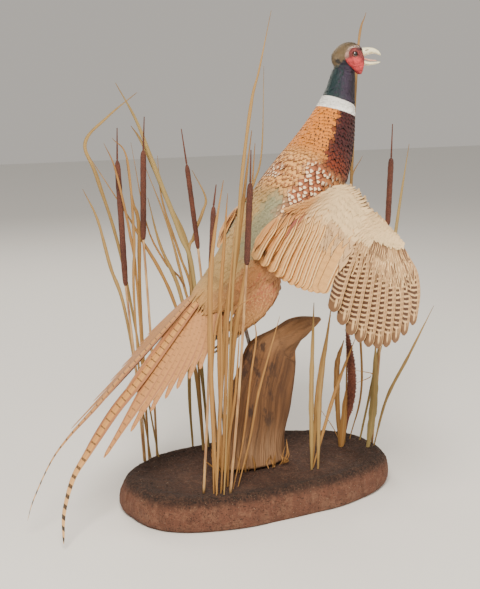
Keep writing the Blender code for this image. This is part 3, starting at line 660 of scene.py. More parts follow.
@dataclass(frozen=True)
class Plumage(Finish):
    """A body feather: ground colour, rim, tip spot, pale shaft and fine barbs."""

    barbs: float = 15.0
    # share of colour left at the root: grey down, and painted shade under the next row of feathers
    down: float = 0.55
    sheen: float = 0.15
    fleck: float = 0.30
    ribbing: float = 0.09
    collared: bool = True
    tint: Colour = AGED
    pale_shaft: Colour = (0.9, 0.78, 0.55)

    def paint(self, graph: Graph, shader: Any) -> None:
        """Reads the colours kept on each feather.

        Args:
            graph: the material's node graph.
            shader: inputs of its surface shader.
        """
        across, along, _ = graph.split(self.chart(graph))
        side = abs(across * 2 - 1)
        ground, mark, rim = (self.stored(graph, n) for n in ("ground", "mark", "rim"))
        spot, width, shaft = graph.split(self.stored(graph, "pattern").also("Vector"))
        wave = graph.noise(self.place(graph), 420, 2)
        reach = graph.math("MAXIMUM", (along - 0.45) / 0.55, 0.0)
        round_ = (side * side + reach * reach) ** 0.5 + (wave - 0.5) * 0.16
        rimmed = graph.ease(round_, 1.0 - width - 0.10, 1.04 - width) * graph.ease(along, 0.3, 0.6)
        centre = 0.89 - spot * 0.08
        broad = graph.ease(spot, 0.82, 0.95)
        length = (along - centre) * (4.6 + broad * 3.6)
        dot = (side * side * (4.4 - broad * 1.4) + length * length) ** 0.5 + (wave - 0.5) * 0.22
        dotted = 1 - graph.ease(dot / graph.math("MAXIMUM", spot, 0.01), 0.8, 1.05)
        barb = graph.math("SINE", along * (self.barbs * FULL_TURN) + side * 9 + wave * 3)
        colour = graph.layers(ground, (rim, rimmed), (mark, dotted))
        quill = (1 - graph.ease(side, 0.0, 0.10)) * shaft * (1 - graph.ease(along, 0.7, 0.9))
        colour = graph.mix(colour, graph.mix(colour, self.pale_shaft, 0.6), quill)
        shade = 1 + barb * self.ribbing + (wave - 0.5) * self.fleck
        # darker towards the root: grey down, and painted shade where the next feathers cover this one
        root = self.down + (1 - self.down) * graph.ease(along, 0.25, 0.62)
        colour = graph.vector("MULTIPLY", graph.tinted(colour, shade * root), self.tint)
        if self.collared:
            white = graph.tinted(WHITE, 1 + (wave - 0.5) * 0.1)
            colour = graph.mix(colour, white, self.collar(graph, wave))
        graph.feed(shader["Base Color"], colour)
        self.relief(graph, shader, barb * 0.5 + wave, 0.0004, 0.5)
        shader["Sheen Weight"].default_value = self.sheen
        shader["Sheen Roughness"].default_value = 0.4
        shader["Specular IOR Level"].default_value = 0.4

    def collar(self, graph: Graph, wave: Sock) -> Sock:
        """Share of the white ring, between two planes across the neck.

        Args:
            graph: the material's node graph.
            wave: soft random value that frays its edges.

        Returns:
            The share.
        """
        share: Number = 1.0
        for lengths, sign in ((PLAN.ring_low, 1.0), (PLAN.ring_high, -1.0)):
            normal, offset = PLAN.across(lengths)
            rise = graph.vector("DOT_PRODUCT", self.place(graph), tuple(normal), output=1) - offset
            share = share * graph.ease((rise + (wave - 0.5) * 0.0016) * sign, -0.0005, 0.0005)
        return share


@dataclass(frozen=True)
class Skin(Finish):
    """The hide under the feathers, with the same markings in soft patches."""

    def paint(self, graph: Graph, shader: Any) -> None:
        """Darkens the kept ground colour, unevenly in soft patches: painted shade under the feathers.

        Args:
            graph: the material's node graph.
            shader: inputs of its surface shader.
        """
        place = self.place(graph)
        tuft = graph.noise(place, 260, 4, 0.65)
        ground = self.stored(graph, "ground")
        # painted shade under the coat: the hide keeps at most 0.8 of the feathers' own colour
        graph.feed(shader["Base Color"], graph.tinted(ground, 0.35 + tuft * 0.45))
        self.relief(graph, shader, tuft, 0.0012)


@dataclass(frozen=True)
class Quill(Finish):
    """A long feather of wing or tail: ground, bars, pale shaft, and an edge of its own."""

    ground: Colour = (0.5, 0.34, 0.22)
    bar: Colour = (0.05, 0.03, 0.02)
    edge: Colour = (0.7, 0.5, 0.35)
    shaft: Colour = (0.8, 0.62, 0.42)
    shaft_at: float = 0.0
    shaft_share: float = 0.85

    def paint(self, graph: Graph, shader: Any) -> None:
        """Ground, bars and edges by the feather's own map.

        Args:
            graph: the material's node graph.
            shader: inputs of its surface shader.
        """
        across, along, _ = graph.split(self.chart(graph))
        span, seed, _ = graph.split(self.stored(graph, "pattern").also("Vector"))
        u = across * 2 - 1
        wave = graph.noise(self.place(graph), 300, 2)
        far = along * span
        off = abs(u - self.shaft_at)
        barb = graph.math("SINE", far * 3600 + off * 10 + wave * 4)
        colour = self.pattern(graph, u, along, far, seed, wave)
        line = (1 - graph.ease(off, 0.05, 0.10)) * (1 - graph.ease(along, 0.85, 0.97))
        colour = graph.mix(colour, self.shaft, line * self.shaft_share)
        shade = 1 + barb * 0.07 + (wave - 0.5) * 0.25
        colour = graph.vector("MULTIPLY", graph.tinted(colour, shade), AGED)
        graph.feed(shader["Base Color"], colour)
        self.relief(graph, shader, barb * 0.35 + line * 2, 0.0005, 0.6)
        shader["Sheen Weight"].default_value = 0.04

    def pattern(self, graph: Graph, u: Sock, along: Sock, far: Sock, seed: Sock, wave: Sock) -> Sock:
        """Plain vane, darker beside the shaft, with faint cross bars and a pale rim.

        Args:
            graph: the material's node graph.
            u: -1 to 1 across the vane.
            along: 0 to 1 from root to tip; not used.
            far: length from the root.
            seed: the feather's own value.
            wave: soft random value.

        Returns:
            The vane's colour.
        """
        cross = graph.ease(graph.math("SINE", far * 560 + seed * 9 + wave * 5), 0.1, 0.9)
        dark = graph.ease(wave, 0.42, 0.75) * 0.24 + cross * graph.ease(u, -0.5, 0.0) * 0.16
        beside = graph.ease(u, -0.84, -0.74) * (1 - graph.ease(u, -0.66, -0.50))
        return graph.layers(self.ground, (self.bar, dark),
                            (self.bar, beside * (0.55 + graph.ease(wave, 0.35, 0.6) * 0.40)),
                            (self.edge, 1 - graph.ease(u, -0.90, -0.80)))


@dataclass(frozen=True)
class TailQuill(Quill):
    """Short dark bars beside the shaft, which reach the edges towards the tip."""

    mauve: Colour = (0.33, 0.145, 0.082)

    def pattern(self, graph: Graph, u: Sock, along: Sock, far: Sock, seed: Sock, wave: Sock) -> Sock:
        """Bars every 10 mm near the root and wider apart and broader towards the tip.

        Args:
            graph: the material's node graph.
            u: -1 to 1 across the vane.
            along: 0 to 1 from root to tip; not used.
            far: length from the root.
            seed: the feather's own value.
            wave: soft random value.

        Returns:
            The vane's colour.
        """
        side = abs(u)
        tip = graph.ease(far, 0.25, 0.38)
        _, _, order = graph.split(self.stored(graph, "pattern").also("Vector"))
        outer = graph.ease(order, 0.10, 0.45)
        aside = graph.ease(order, 0.0, 0.1)
        step = far * (104 - far * 46) + seed + (wave - 0.5) * 0.10 + u * 0.10
        crest = graph.math("SINE", step * FULL_TURN)
        low = 0.87 - tip * 0.62
        bar = graph.ease(crest, low - 0.07, low + 0.07)
        reach = 0.55 - outer * 0.22 + tip * 0.6 + (wave - 0.5) * 0.3
        bar = bar * (1 - graph.ease(side, reach - 0.10, reach + 0.08))
        fringe = graph.ease(side + (wave - 0.5) * 0.25, 0.34, 0.66) * (1 - tip)
        hem = graph.ease(side, 0.84, 0.94) * aside
        return graph.layers(self.ground,
                            (self.mauve, graph.math("MAXIMUM", fringe, aside * 0.45) * 0.85),
                            (self.edge, graph.math("MAXIMUM", tip, hem) * 0.85),
                            (self.bar, bar * (0.74 + tip * 0.22) * (1 - outer * 0.62)))


@dataclass(frozen=True)
class PrimaryQuill(Quill):
    """Tan-grey outer vane and a column of cream checks on brown on the inner vane."""

    tip: Colour = (0.165, 0.092, 0.050)

    def pattern(self, graph: Graph, u: Sock, along: Sock, far: Sock, seed: Sock, wave: Sock) -> Sock:
        """Checks every 7 mm that end before a plain tip.

        Args:
            graph: the material's node graph.
            u: -1 to 1 across the vane.
            along: 0 to 1 from root to tip.
            far: length from the root.
            seed: the feather's own value.
            wave: soft random value.

        Returns:
            The vane's colour.
        """
        arch = (u + 0.25) * (u + 0.25)
        step = graph.math("SINE", far * 960.0 + arch * 3.4 + seed * 12.0 + (wave - 0.5) * 2.2)
        check = graph.ease(step, -0.05, 0.60)
        inner = graph.ease(u, -0.68, -0.60)
        plain = graph.ease(along + (wave - 0.5) * 0.06, 0.84, 0.90)
        cells = graph.mix(self.bar, self.edge, check * (0.90 - graph.ease(u, 0.1, 0.7) * 0.25))
        outer = graph.mix(self.ground, self.edge, check * 0.35)
        wedge = graph.ease(along, 0.80, 0.86) * (1 - graph.ease(along + abs(u + 0.2) * 0.05, 0.92, 0.97))
        rimmed = 1 - graph.ease(u, -0.96, -0.86) + graph.ease(abs(u), 0.86, 0.95) * plain
        return graph.layers(outer, (cells, inner), (self.tip, plain),
                            (self.edge, wedge * (1 - graph.ease(abs(u + 0.2), 0.10, 0.25)) * 0.9),
                            (self.edge, rimmed * 0.5))


@dataclass(frozen=True)
class Earth(Finish):
    """Crumbly brown soil, with painted shade in its pits."""

    # near black: painted shade in the hollows between crumbs
    pit_shade: Colour = (0.013, 0.006, 0.004)
    # darker than the flank colour: painted shade over the top of the base
    top: Colour = (0.060, 0.025, 0.014)
    flank: Colour = (0.200, 0.078, 0.045)
    clay: Colour = (0.30, 0.150, 0.085)
    dust: Colour = (0.24, 0.125, 0.075)
    glint: Colour = (0.75, 0.60, 0.38)

    def paint(self, graph: Graph, shader: Any) -> None:
        """Crumbs, pits and streaks down the sides.

        Args:
            graph: the material's node graph.
            shader: inputs of its surface shader.
        """
        place = self.place(graph)
        crumb = graph.noise(place, 300, 6, 0.7)
        patch = graph.noise(place, 22, 4, 0.6)
        _, _, z = graph.split(place)
        streak = graph.noise(graph.vector("MULTIPLY", place, (1.0, 1.0, 0.18)), 120, 3)
        # the sides take the flank colour and the top keeps the darker top colour, which is painted shade
        side = 1 - graph.ease(z, 0.030, 0.046)
        clay = graph.ease(graph.noise(place, 75, 5, 0.7), 0.48, 0.62) * 0.35
        glint = graph.ease(graph.noise(place, 900, 1), 0.74, 0.78)
        # the pit colour shows where the crumbs are low: painted shade between them
        colour = graph.layers(self.pit_shade, (self.top, graph.ease(crumb, 0.35, 0.65)),
                              (self.flank, side * (0.60 + graph.ease(streak, 0.3, 0.7) * 0.25)),
                              (self.clay, clay * (0.18 + side * 0.82)),
                              (self.dust, graph.ease(patch, 0.52, 0.75) * (0.10 + side * 0.40)),
                              (self.glint, glint * 0.8))
        # painted shade: darker in the pits that the relief sinks
        shaded_pits = 1 - graph.ease(graph.noise(place, 520, 3), 0.30, 0.42)
        graph.feed(shader["Base Color"], graph.tinted(colour, 1 - shaded_pits * 0.6))
        graph.feed(shader["Roughness"], 0.95 - graph.ease(crumb, 0.62, 0.72) * 0.35)
        self.relief(graph, shader, crumb + streak * side * 0.3 - shaded_pits * 0.6, 0.0040)


@dataclass(frozen=True)
class Driftwood(Finish):
    """Weathered wood with grain along it and dark mottles."""

    groove: Colour = (0.070, 0.027, 0.009)
    wood: Colour = (0.195, 0.085, 0.030)
    ridge: Colour = (0.270, 0.135, 0.052)
    hook: Colour = (0.33, 0.165, 0.070)
    stain: Colour = (0.030, 0.013, 0.008)
    splinter: Colour = (0.44, 0.255, 0.135)

    def paint(self, graph: Graph, shader: Any) -> None:
        """Grain follows the map along the stump.

        Args:
            graph: the material's node graph.
            shader: inputs of its surface shader.
        """
        chart = self.chart(graph)
        place = self.place(graph)
        grain = graph.noise(graph.vector("MULTIPLY", chart, (34.0, 1.6, 1.0)), 1.0, 4, 0.55, 0.1)
        fine = graph.noise(graph.vector("MULTIPLY", chart, (230.0, 5.0, 1.0)), 1.0, 3, 0.6)
        mottle = graph.noise(graph.vector("MULTIPLY", place, (1.0, 1.0, 0.45)), 62, 5, 0.65)
        x, _, z = graph.split(place)
        left = 1 - graph.ease(x, 0.000, 0.045)
        dark = graph.ease(mottle, 0.50, 0.62) * (0.12 + 0.88 * left * graph.ease(z, 0.075, 0.12))
        pale = (1 - graph.ease(z, 0.06, 0.13)) * (1 - graph.ease(x, 0.02, 0.05))
        colour = graph.layers(self.groove, (self.wood, graph.ease(grain, 0.30, 0.66)),
                              (self.ridge, graph.ease(fine, 0.50, 0.8) * 0.45),
                              (self.hook, graph.ease(z, 0.205, 0.245) * (0.25 + grain * 0.6)),
                              (self.stain, dark * 0.8),
                              (self.splinter, pale * graph.ease(fine, 0.35, 0.6) * 0.8))
        graph.feed(shader["Base Color"], colour)
        self.relief(graph, shader, grain + fine * 0.5, 0.0025)


@dataclass(frozen=True)
class DryLeaf(Finish):
    """Straw leaf with fine ribs, brown blotches and darker edges."""

    pale: Colour = (0.35, 0.190, 0.060)
    dark: Colour = (0.13, 0.058, 0.020)
    fresh: Colour = (0.27, 0.265, 0.125)
    midrib: Colour = (0.52, 0.36, 0.17)

    def paint(self, graph: Graph, shader: Any) -> None:
        """Ribs run along the blade.

        Args:
            graph: the material's node graph.
            shader: inputs of its surface shader.
        """
        across, along, _ = graph.split(self.chart(graph))
        place = self.place(graph)
        rib = graph.math("SINE", across * 88.0 + graph.noise(place, 30) * 4)
        blotch = graph.noise(graph.vector("MULTIPLY", place, (1.0, 1.0, 0.30)), 48, 5, 0.65)
        _, age, green = graph.split(self.stored(graph, "pattern").also("Vector"))
        side = abs(across * 2 - 1)
        colour = graph.layers(self.pale, (self.fresh, green * (1 - along * 0.2)),
                              (self.dark, graph.ease(blotch, 0.44, 0.70) * (0.10 + age * 0.85)),
                              (self.dark, graph.ease(side, 0.75, 1.0) * 0.22),
                              (self.midrib, (1 - graph.ease(side, 0.06, 0.22)) * 0.40),
                              (self.dark, graph.ease(along, 0.93, 1.0) * 0.6))
        colour = graph.vector("MULTIPLY", graph.tinted(colour, 1 + rib * 0.09), AGED)
        graph.feed(shader["Base Color"], colour)
        self.relief(graph, shader, rib, 0.00008, 0.6)


@dataclass(frozen=True)
class Streaked(Finish):
    """A round stem or a rough surface in two colours, streaked along Z."""

    light: Colour = (0.5, 0.36, 0.18)
    dark: Colour = (0.2, 0.12, 0.06)
    grain: float = 120.0
    stretch: float = 0.12
    depth: float = 0.0006

    def paint(self, graph: Graph, shader: Any) -> None:
        """Streaks and blotches.

        Args:
            graph: the material's node graph.
            shader: inputs of its surface shader.
        """
        place = self.place(graph)
        streak = graph.noise(graph.vector("MULTIPLY", place, (1.0, 1.0, self.stretch)), self.grain, 4, 0.6)
        patch = graph.noise(place, 35, 3)
        amount = graph.ease(streak * 0.7 + patch * 0.3, 0.36, 0.64)
        graph.feed(shader["Base Color"], graph.mix(self.dark, self.light, amount))
        self.relief(graph, shader, streak, self.depth)


@dataclass(frozen=True)
class Papillae(Finish):
    """Red wattle skin, rough with small raised beads."""

    def paint(self, graph: Graph, shader: Any) -> None:
        """Beads of the kept colour with darker valleys between them.

        Args:
            graph: the material's node graph.
            shader: inputs of its surface shader.
        """
        place = self.place(graph)
        bead = graph.node("ShaderNodeTexVoronoi", None, {"Vector": place, "Scale": 820.0})
        low = graph.ease(bead, 0.25, 0.75)
        patch = graph.ease(graph.noise(place, 130, 3), 0.35, 0.7)
        shade = 0.75 + patch * 0.5 - low * 0.45
        graph.feed(shader["Base Color"], graph.tinted(self.stored(graph, "ground"), shade))
        self.relief(graph, shader, 1 - low, 0.0010)


@dataclass(frozen=True)
class Horn(Finish):
    """Polished horn with faint growth lines."""

    light: Colour = (0.88, 0.82, 0.55)
    dark: Colour = (0.70, 0.60, 0.33)
    depth: float = 0.0002

    def paint(self, graph: Graph, shader: Any) -> None:
        """Cloudy horn.

        Args:
            graph: the material's node graph.
            shader: inputs of its surface shader.
        """
        place = self.place(graph)
        cloud = graph.noise(place, 150, 4)
        line = graph.noise(graph.vector("MULTIPLY", place, (0.25, 0.25, 1.0)), 900, 2)
        colour = graph.mix(self.dark, self.light, graph.ease(cloud, 0.25, 0.50))
        graph.feed(shader["Base Color"], graph.tinted(colour, 0.9 + line * 0.2))
        self.relief(graph, shader, line, self.depth)


@dataclass(frozen=True)
class GlassEye(Finish):
    """Iris and pupil by the distance from the eye's own axis."""

    iris: tuple[Colour, Colour] = ((0.060, 0.020, 0.008), (0.19, 0.070, 0.018))
    pupil: Colour = (0.004, 0.003, 0.003)
    rim: Colour = (0.02, 0.01, 0.008)

    def paint(self, graph: Graph, shader: Any) -> None:
        """The map's first value runs from the pupil out.

        Args:
            graph: the material's node graph.
            shader: inputs of its surface shader.
        """
        out, turn, _ = graph.split(self.chart(graph))
        fleck = graph.noise(graph.xyz(turn * 40, out * 6, 0.0), 1.0, 3)
        colour = graph.layers(self.pupil, (graph.mix(*self.iris, fleck), graph.ease(out, 0.40, 0.45)),
                              (self.rim, graph.ease(out, 0.62, 0.70)))
        graph.feed(shader["Base Color"], colour)
        shader["Coat Weight"].default_value = 1.0
        shader["Coat Roughness"].default_value = 0.02


@dataclass(frozen=True)
class LegScale(Finish):
    """Grey-brown scutes across the shank."""

    plates: tuple[Colour, Colour] = ((0.34, 0.30, 0.24), (0.20, 0.16, 0.12))
    seam: Colour = (0.07, 0.05, 0.04)

    def paint(self, graph: Graph, shader: Any) -> None:
        """Rows of small plates.

        Args:
            graph: the material's node graph.
            shader: inputs of its surface shader.
        """
        place = self.place(graph)
        cell = graph.node("ShaderNodeTexVoronoi", {"feature": "DISTANCE_TO_EDGE"},
                          {"Vector": place, "Scale": 420.0})
        groove = 1 - graph.ease(cell, 0.02, 0.12)
        patch = graph.noise(place, 90, 3)
        colour = graph.mix(*self.plates, graph.ease(patch, 0.4, 0.7))
        graph.feed(shader["Base Color"], graph.mix(colour, self.seam, groove * 0.8))
        self.relief(graph, shader, 1 - groove, 0.0006)


@dataclass(frozen=True)
class Steel(Finish):
    """Dark steel, mostly under rust."""

    bare: Colour = (0.22, 0.20, 0.18)
    rusty: Colour = (0.11, 0.050, 0.026)

    def paint(self, graph: Graph, shader: Any) -> None:
        """Rust in soft patches.

        Args:
            graph: the material's node graph.
            shader: inputs of its surface shader.
        """
        rust = graph.ease(graph.noise(self.place(graph), 160, 4), 0.30, 0.55)
        graph.feed(shader["Base Color"], graph.mix(self.bare, self.rusty, rust))
        graph.feed(shader["Metallic"], 1 - rust)


FEATHER = Plumage("body_feather", 0.62, down=0.65, sheen=0.05)
SOFT = Plumage("wing_feather", 0.62, down=0.95, sheen=0.05, fleck=0.08, ribbing=0.04, collared=False)
GLOSSY = Plumage("neck_feather", 0.36, down=0.7, sheen=0.05, tint=(1.0, 0.97, 0.95))
HIDE = Skin("hide", 0.85)
BARE_SKIN = Papillae("bare_skin", 0.6)


# ---------------------------------------------------------------- flesh and its lie
@dataclass
class Plan:
    """Where the bird's trunk, neck and head lie; the solids follow the same values."""

    # each ring: x, z, pitch in degrees, half width, rise of the back, drop of the belly
    rings: tuple = (
        (-0.0760, 0.3190, 45, 0.040, 0.0210, 0.0250), (-0.0600, 0.3250, 45, 0.046, 0.0300, 0.0350),
        (-0.0410, 0.3350, 46, 0.052, 0.0390, 0.0440), (-0.0150, 0.3610, 48, 0.059, 0.0480, 0.0540),
        (0.0130, 0.3910, 50, 0.064, 0.0550, 0.0620), (0.0430, 0.4270, 51, 0.0665, 0.0590, 0.0660),
        (0.0730, 0.4660, 54, 0.064, 0.0570, 0.0640), (0.0980, 0.5020, 60, 0.055, 0.0500, 0.0560),
        (0.1130, 0.5320, 68, 0.045, 0.0420, 0.0450), (0.1230, 0.5580, 74, 0.036, 0.0340, 0.0350),
        (0.1300, 0.5800, 80, 0.0285, 0.0280, 0.0285), (0.1350, 0.6020, 84, 0.0220, 0.0210, 0.0225),
        (0.1390, 0.6220, 86, 0.0190, 0.0190, 0.0195), (0.1420, 0.6400, 86, 0.0165, 0.0160, 0.0165),
    )
    # lengths along the body of the white ring's edges at five turns from the back
    ring_turns: tuple = (0, 60, 100, 150, 180)
    ring_low: tuple = (0.3390, 0.3285, 0.3270, 0.3290, 0.3310)
    ring_high: tuple = (0.3550, 0.3475, 0.3450, 0.3425, 0.3425)
    head_middle: tuple = (0.148, 0.0, 0.651)
    head_yaw: float = math.radians(-28)
    ring_softness: float = 0.0008
    # how far past both ends of the body a place may lie, and what the whole length is on the map
    beyond: float = 0.03
    chart_length: float = 0.41

    def __post_init__(self) -> None:
        """Works out the length along the body at each ring."""
        rings = np.array(self.rings)
        self.table = rings
        steps = np.hypot(np.diff(rings[:, 0]), np.diff(rings[:, 1]))
        self.reach = np.concatenate([[0.0], np.cumsum(steps)])

    def section(self, s: np.ndarray) -> tuple[np.ndarray, ...]:
        """Cross section of trunk and neck.

        Args:
            s: lengths along the body.

        Returns:
            Middle, direction of the back, half width, rise of the back and drop of the belly.
        """
        x, z, pitch, half, rise, drop = (np.interp(s, self.reach, self.table[:, k]) for k in range(6))
        pitch = np.radians(pitch)
        middle = np.stack([x, 0 * x, z], -1)
        back = np.stack([-np.sin(pitch), 0 * x, np.cos(pitch)], -1)
        return middle, back, half, rise, drop

    def forward(self, s: np.ndarray) -> np.ndarray:
        """Direction along the body towards the head."""
        pitch = np.radians(np.interp(s, self.reach, self.table[:, 2]))
        return np.stack([np.cos(pitch), 0 * pitch, np.sin(pitch)], -1)

    def across(self, lengths: Sequence[float]) -> tuple[np.ndarray, float]:
        """Plane across the neck through the places at these lengths.

        Args:
            lengths: lengths along the body at the ring's turns.

        Returns:
            The plane's normal, towards the head, and its offset.
        """
        turns = np.radians(self.ring_turns)
        middle, back, half, rise, drop = self.section(np.array(lengths))
        high = np.where(np.cos(turns) > 0, rise, drop) * np.cos(turns)
        points = middle + back * high[:, None] + np.outer(half * np.sin(turns), (0, 1, 0))
        points = np.concatenate([points, points * (1, -1, 1)])
        normal = np.linalg.svd(points - points.mean(axis=0))[2][-1]
        normal = normal * np.sign(normal[2])
        return normal, float(points.mean(axis=0) @ normal)

    def in_ring(self, points: np.ndarray) -> np.ndarray:
        """Share of the white ring at places on the body.

        Args:
            points: the places.

        Returns:
            0 outside the ring to 1 in it.
        """
        (low, low_at), (high, high_at) = self.across(self.ring_low), self.across(self.ring_high)
        soft = self.ring_softness
        return ease(points @ low - low_at, -soft, soft) * (1 - ease(points @ high - high_at, -soft, soft))

    def locate(self, points: np.ndarray) -> tuple[np.ndarray, np.ndarray]:
        """Where points on the body are in its own terms.

        Args:
            points: places on the surface.

        Returns:
            Lengths along the body, and turns from the back in degrees.
        """
        dense = np.linspace(-self.beyond, self.reach[-1] + self.beyond, 160)
        middle, back, *_ = self.section(dense)
        ahead = self.forward(dense)
        middle = middle + ahead * np.minimum(dense, 0)[:, None]
        middle += ahead * np.maximum(dense - self.reach[-1], 0)[:, None]
        gap = points[:, None, :] - middle[None]
        along = np.abs(np.einsum("ijk,jk->ij", gap, ahead)) + np.linalg.norm(gap, axis=2) * 0.25
        best = np.argmin(along, axis=1)
        gap = points - middle[best]
        up = np.einsum("ij,ij->i", gap, back[best])
        return dense[best], np.degrees(np.arctan2(gap[:, 1], up))

    def on_head(self, places: Any) -> np.ndarray:
        """Points given as forward, left and up from the middle of the skull.

        Args:
            places: forward, left and up, one row each.

        Returns:
            The points.
        """
        f, l, u = np.moveaxis(np.asarray(places, float), -1, 0)
        c, s = math.cos(self.head_yaw), math.sin(self.head_yaw)
        return np.stack([f * c - l * s, f * s + l * c, u], -1) + np.array(self.head_middle)

    def head_way(self, ways: Any) -> np.ndarray:
        """A direction given as forward, left and up."""
        return self.on_head(ways) - np.array(self.head_middle)

    def from_head(self, points: np.ndarray) -> np.ndarray:
        """Forward, left and up of points, from the middle of the skull.

        Args:
            points: the points.

        Returns:
            Forward, left and up, one row each.
        """
        gap = points - np.array(self.head_middle)
        c, s = math.cos(self.head_yaw), math.sin(self.head_yaw)
        return np.stack([gap[:, 0] * c + gap[:, 1] * s, -gap[:, 0] * s + gap[:, 1] * c, gap[:, 2]], -1)


PLAN = Plan()
PARTS = ("ground", "mark", "rim")


def paints(count: int, ground: Colour = (0.3, 0.2, 0.1)) -> dict[str, np.ndarray]:
    """Empty markings for a number of feathers.

    Args:
        count: how many.
        ground: the colour that all of them get.

    Returns:
        The markings by name.
    """
    made = {name: np.tile(np.array(ground, float), (count, 1)) for name in PARTS}
    made["pattern"] = np.zeros((count, 3))
    return made


def lay(made: dict[str, np.ndarray], share: np.ndarray, **values: Any) -> None:
    """Lays a zone's colours and pattern over the feathers by its share of each."""
    for name, value in values.items():
        made[name] = blend(made[name], np.array(value, float), np.clip(share, 0, 1))


def body_markings(points: np.ndarray, random: np.random.Generator) -> dict[str, np.ndarray]:
    """Colours of trunk and neck by place on the body.

    Args:
        points: places on the surface.
        random: source of the small differences between feathers.

    Returns:
        Ground, mark and rim colours, and spot, rim width and shaft shares.
    """
    s, turn = PLAN.locate(points)
    phi = np.abs(turn) + random.normal(0, 2.5, len(s))
    s = s + random.normal(0, 0.0009, len(s))
    made = paints(len(s), (0.30, 0.20, 0.09))
    # rump: olive at the top, blue-grey beside it, tan and dark at the sides
    lay(made, 1 - ease(s, 0.14, 0.17), ground=(0.42, 0.30, 0.14), rim=(0.50, 0.38, 0.20),
        pattern=(0, 0.06, 0.2))
    side = ease(phi, 16, 34) * (1 - ease(phi, 66, 84)) * (1 - ease(s, 0.155, 0.185)) * ease(s, 0.04, 0.08)
    lay(made, side, ground=(0.25, 0.275, 0.205), rim=(0.34, 0.355, 0.265), pattern=(0, 0.12, 0.1))
    lay(made, ease(phi, 55, 75) * (1 - ease(s, 0.09, 0.13)), ground=(0.36, 0.17, 0.07),
        rim=(0.44, 0.24, 0.11))
    # back: buff and brown scales with cream edges
    scales = ease(s, 0.155, 0.185) * (1 - ease(s, 0.235, 0.262)) * (1 - ease(phi, 58, 78))
    lay(made, scales, ground=(0.72, 0.40, 0.15), mark=(0.30, 0.120, 0.045), rim=(0.11, 0.045, 0.024),
        pattern=(0.62, 0.11, 0.4))
    # scapulars: pale ovals with a plum surround
    ovals = ease(s, 0.125, 0.15) * (1 - ease(s, 0.228, 0.25)) * ease(phi, 46, 58) * (1 - ease(phi, 104, 118))
    crest = ease(s, 0.180, 0.19) * (1 - ease(s, 0.208, 0.218)) * (1 - ease(phi, 14, 26))
    lay(made, np.maximum(ovals, crest * 0.8), ground=(0.31, 0.110, 0.055), mark=(0.90, 0.77, 0.64),
        rim=(0.11, 0.038, 0.025), pattern=(1.02, 0.18, 0.0))
    # mantle: gold with a small black spot at each tip
    gold = ease(s, 0.232, 0.262)
    warm = ease(s, 0.24, 0.33)[:, None]
    tone = np.array([0.60, 0.235, 0.040]) * (1 - warm) + np.array([0.69, 0.245, 0.024]) * warm
    made["ground"] = blend(made["ground"], tone, gold)
    size = random.uniform(0.42, 0.80, len(s)) * (0.55 + 0.45 * ease(phi, 10, 40))
    dots = size[:, None] * (1, 0, 0) + np.array([0, 0.05, 0])
    lay(made, gold, mark=(0.018, 0.010, 0.008), rim=(0.70, 0.31, 0.085), pattern=dots)
    # shoulder and breast: copper with dark scallops, then maroon under the throat
    low = ease(phi, 62, 74) * ease(s, 0.225, 0.245)
    lay(made, low, ground=(0.185, 0.032, 0.008), mark=(0.02, 0.010, 0.014), rim=(0.024, 0.007, 0.010),
        pattern=(0.25, 0.10, 0.0))
    lay(made, low * ease(s, 0.240, 0.285), ground=(0.048, 0.004, 0.006), rim=(0.018, 0.003, 0.005),
        pattern=(0, 0.16, 0.0))
    # flanks and belly: golden buff with dark tips, and a brown-black middle
    under = ease(phi, 84, 100) * (1 - ease(s, 0.222, 0.242))
    lay(made, under, ground=(0.40, 0.18, 0.06), mark=(0.03, 0.014, 0.012), rim=(0.18, 0.06, 0.03),
        pattern=(0.62, 0.06, 0.0))
    lay(made, under * (1 - ease(s, 0.105, 0.135)), ground=(0.38, 0.19, 0.09), rim=(0.45, 0.25, 0.13),
        pattern=(0.0, 0.08, 0.1))
    lay(made, ease(phi, 128, 146) * (1 - ease(s, 0.255, 0.285)), ground=(0.050, 0.026, 0.018),
        rim=(0.075, 0.040, 0.028), pattern=(0, 0.1, 0.0))
    # neck: teal behind, purple at the sides, near black in front
    low, high = (np.interp(phi, PLAN.ring_turns, edge) for edge in (PLAN.ring_low, PLAN.ring_high))
    neck = ease(s - (low + high) / 2, -0.0012, 0.0012)
    mixed = phi + random.normal(0, 13, len(s)) + 260 * (s - 0.375)
    lay(made, neck, ground=(0.012, 0.033, 0.039), rim=(0.024, 0.052, 0.058), pattern=(0, 0.22, 0.0))
    lay(made, neck * ease(mixed, 30, 78), ground=(0.034, 0.022, 0.052), rim=(0.052, 0.036, 0.072))
    lay(made, neck * ease(mixed, 84, 122), ground=(0.011, 0.008, 0.015), rim=(0.019, 0.014, 0.026))
    return made


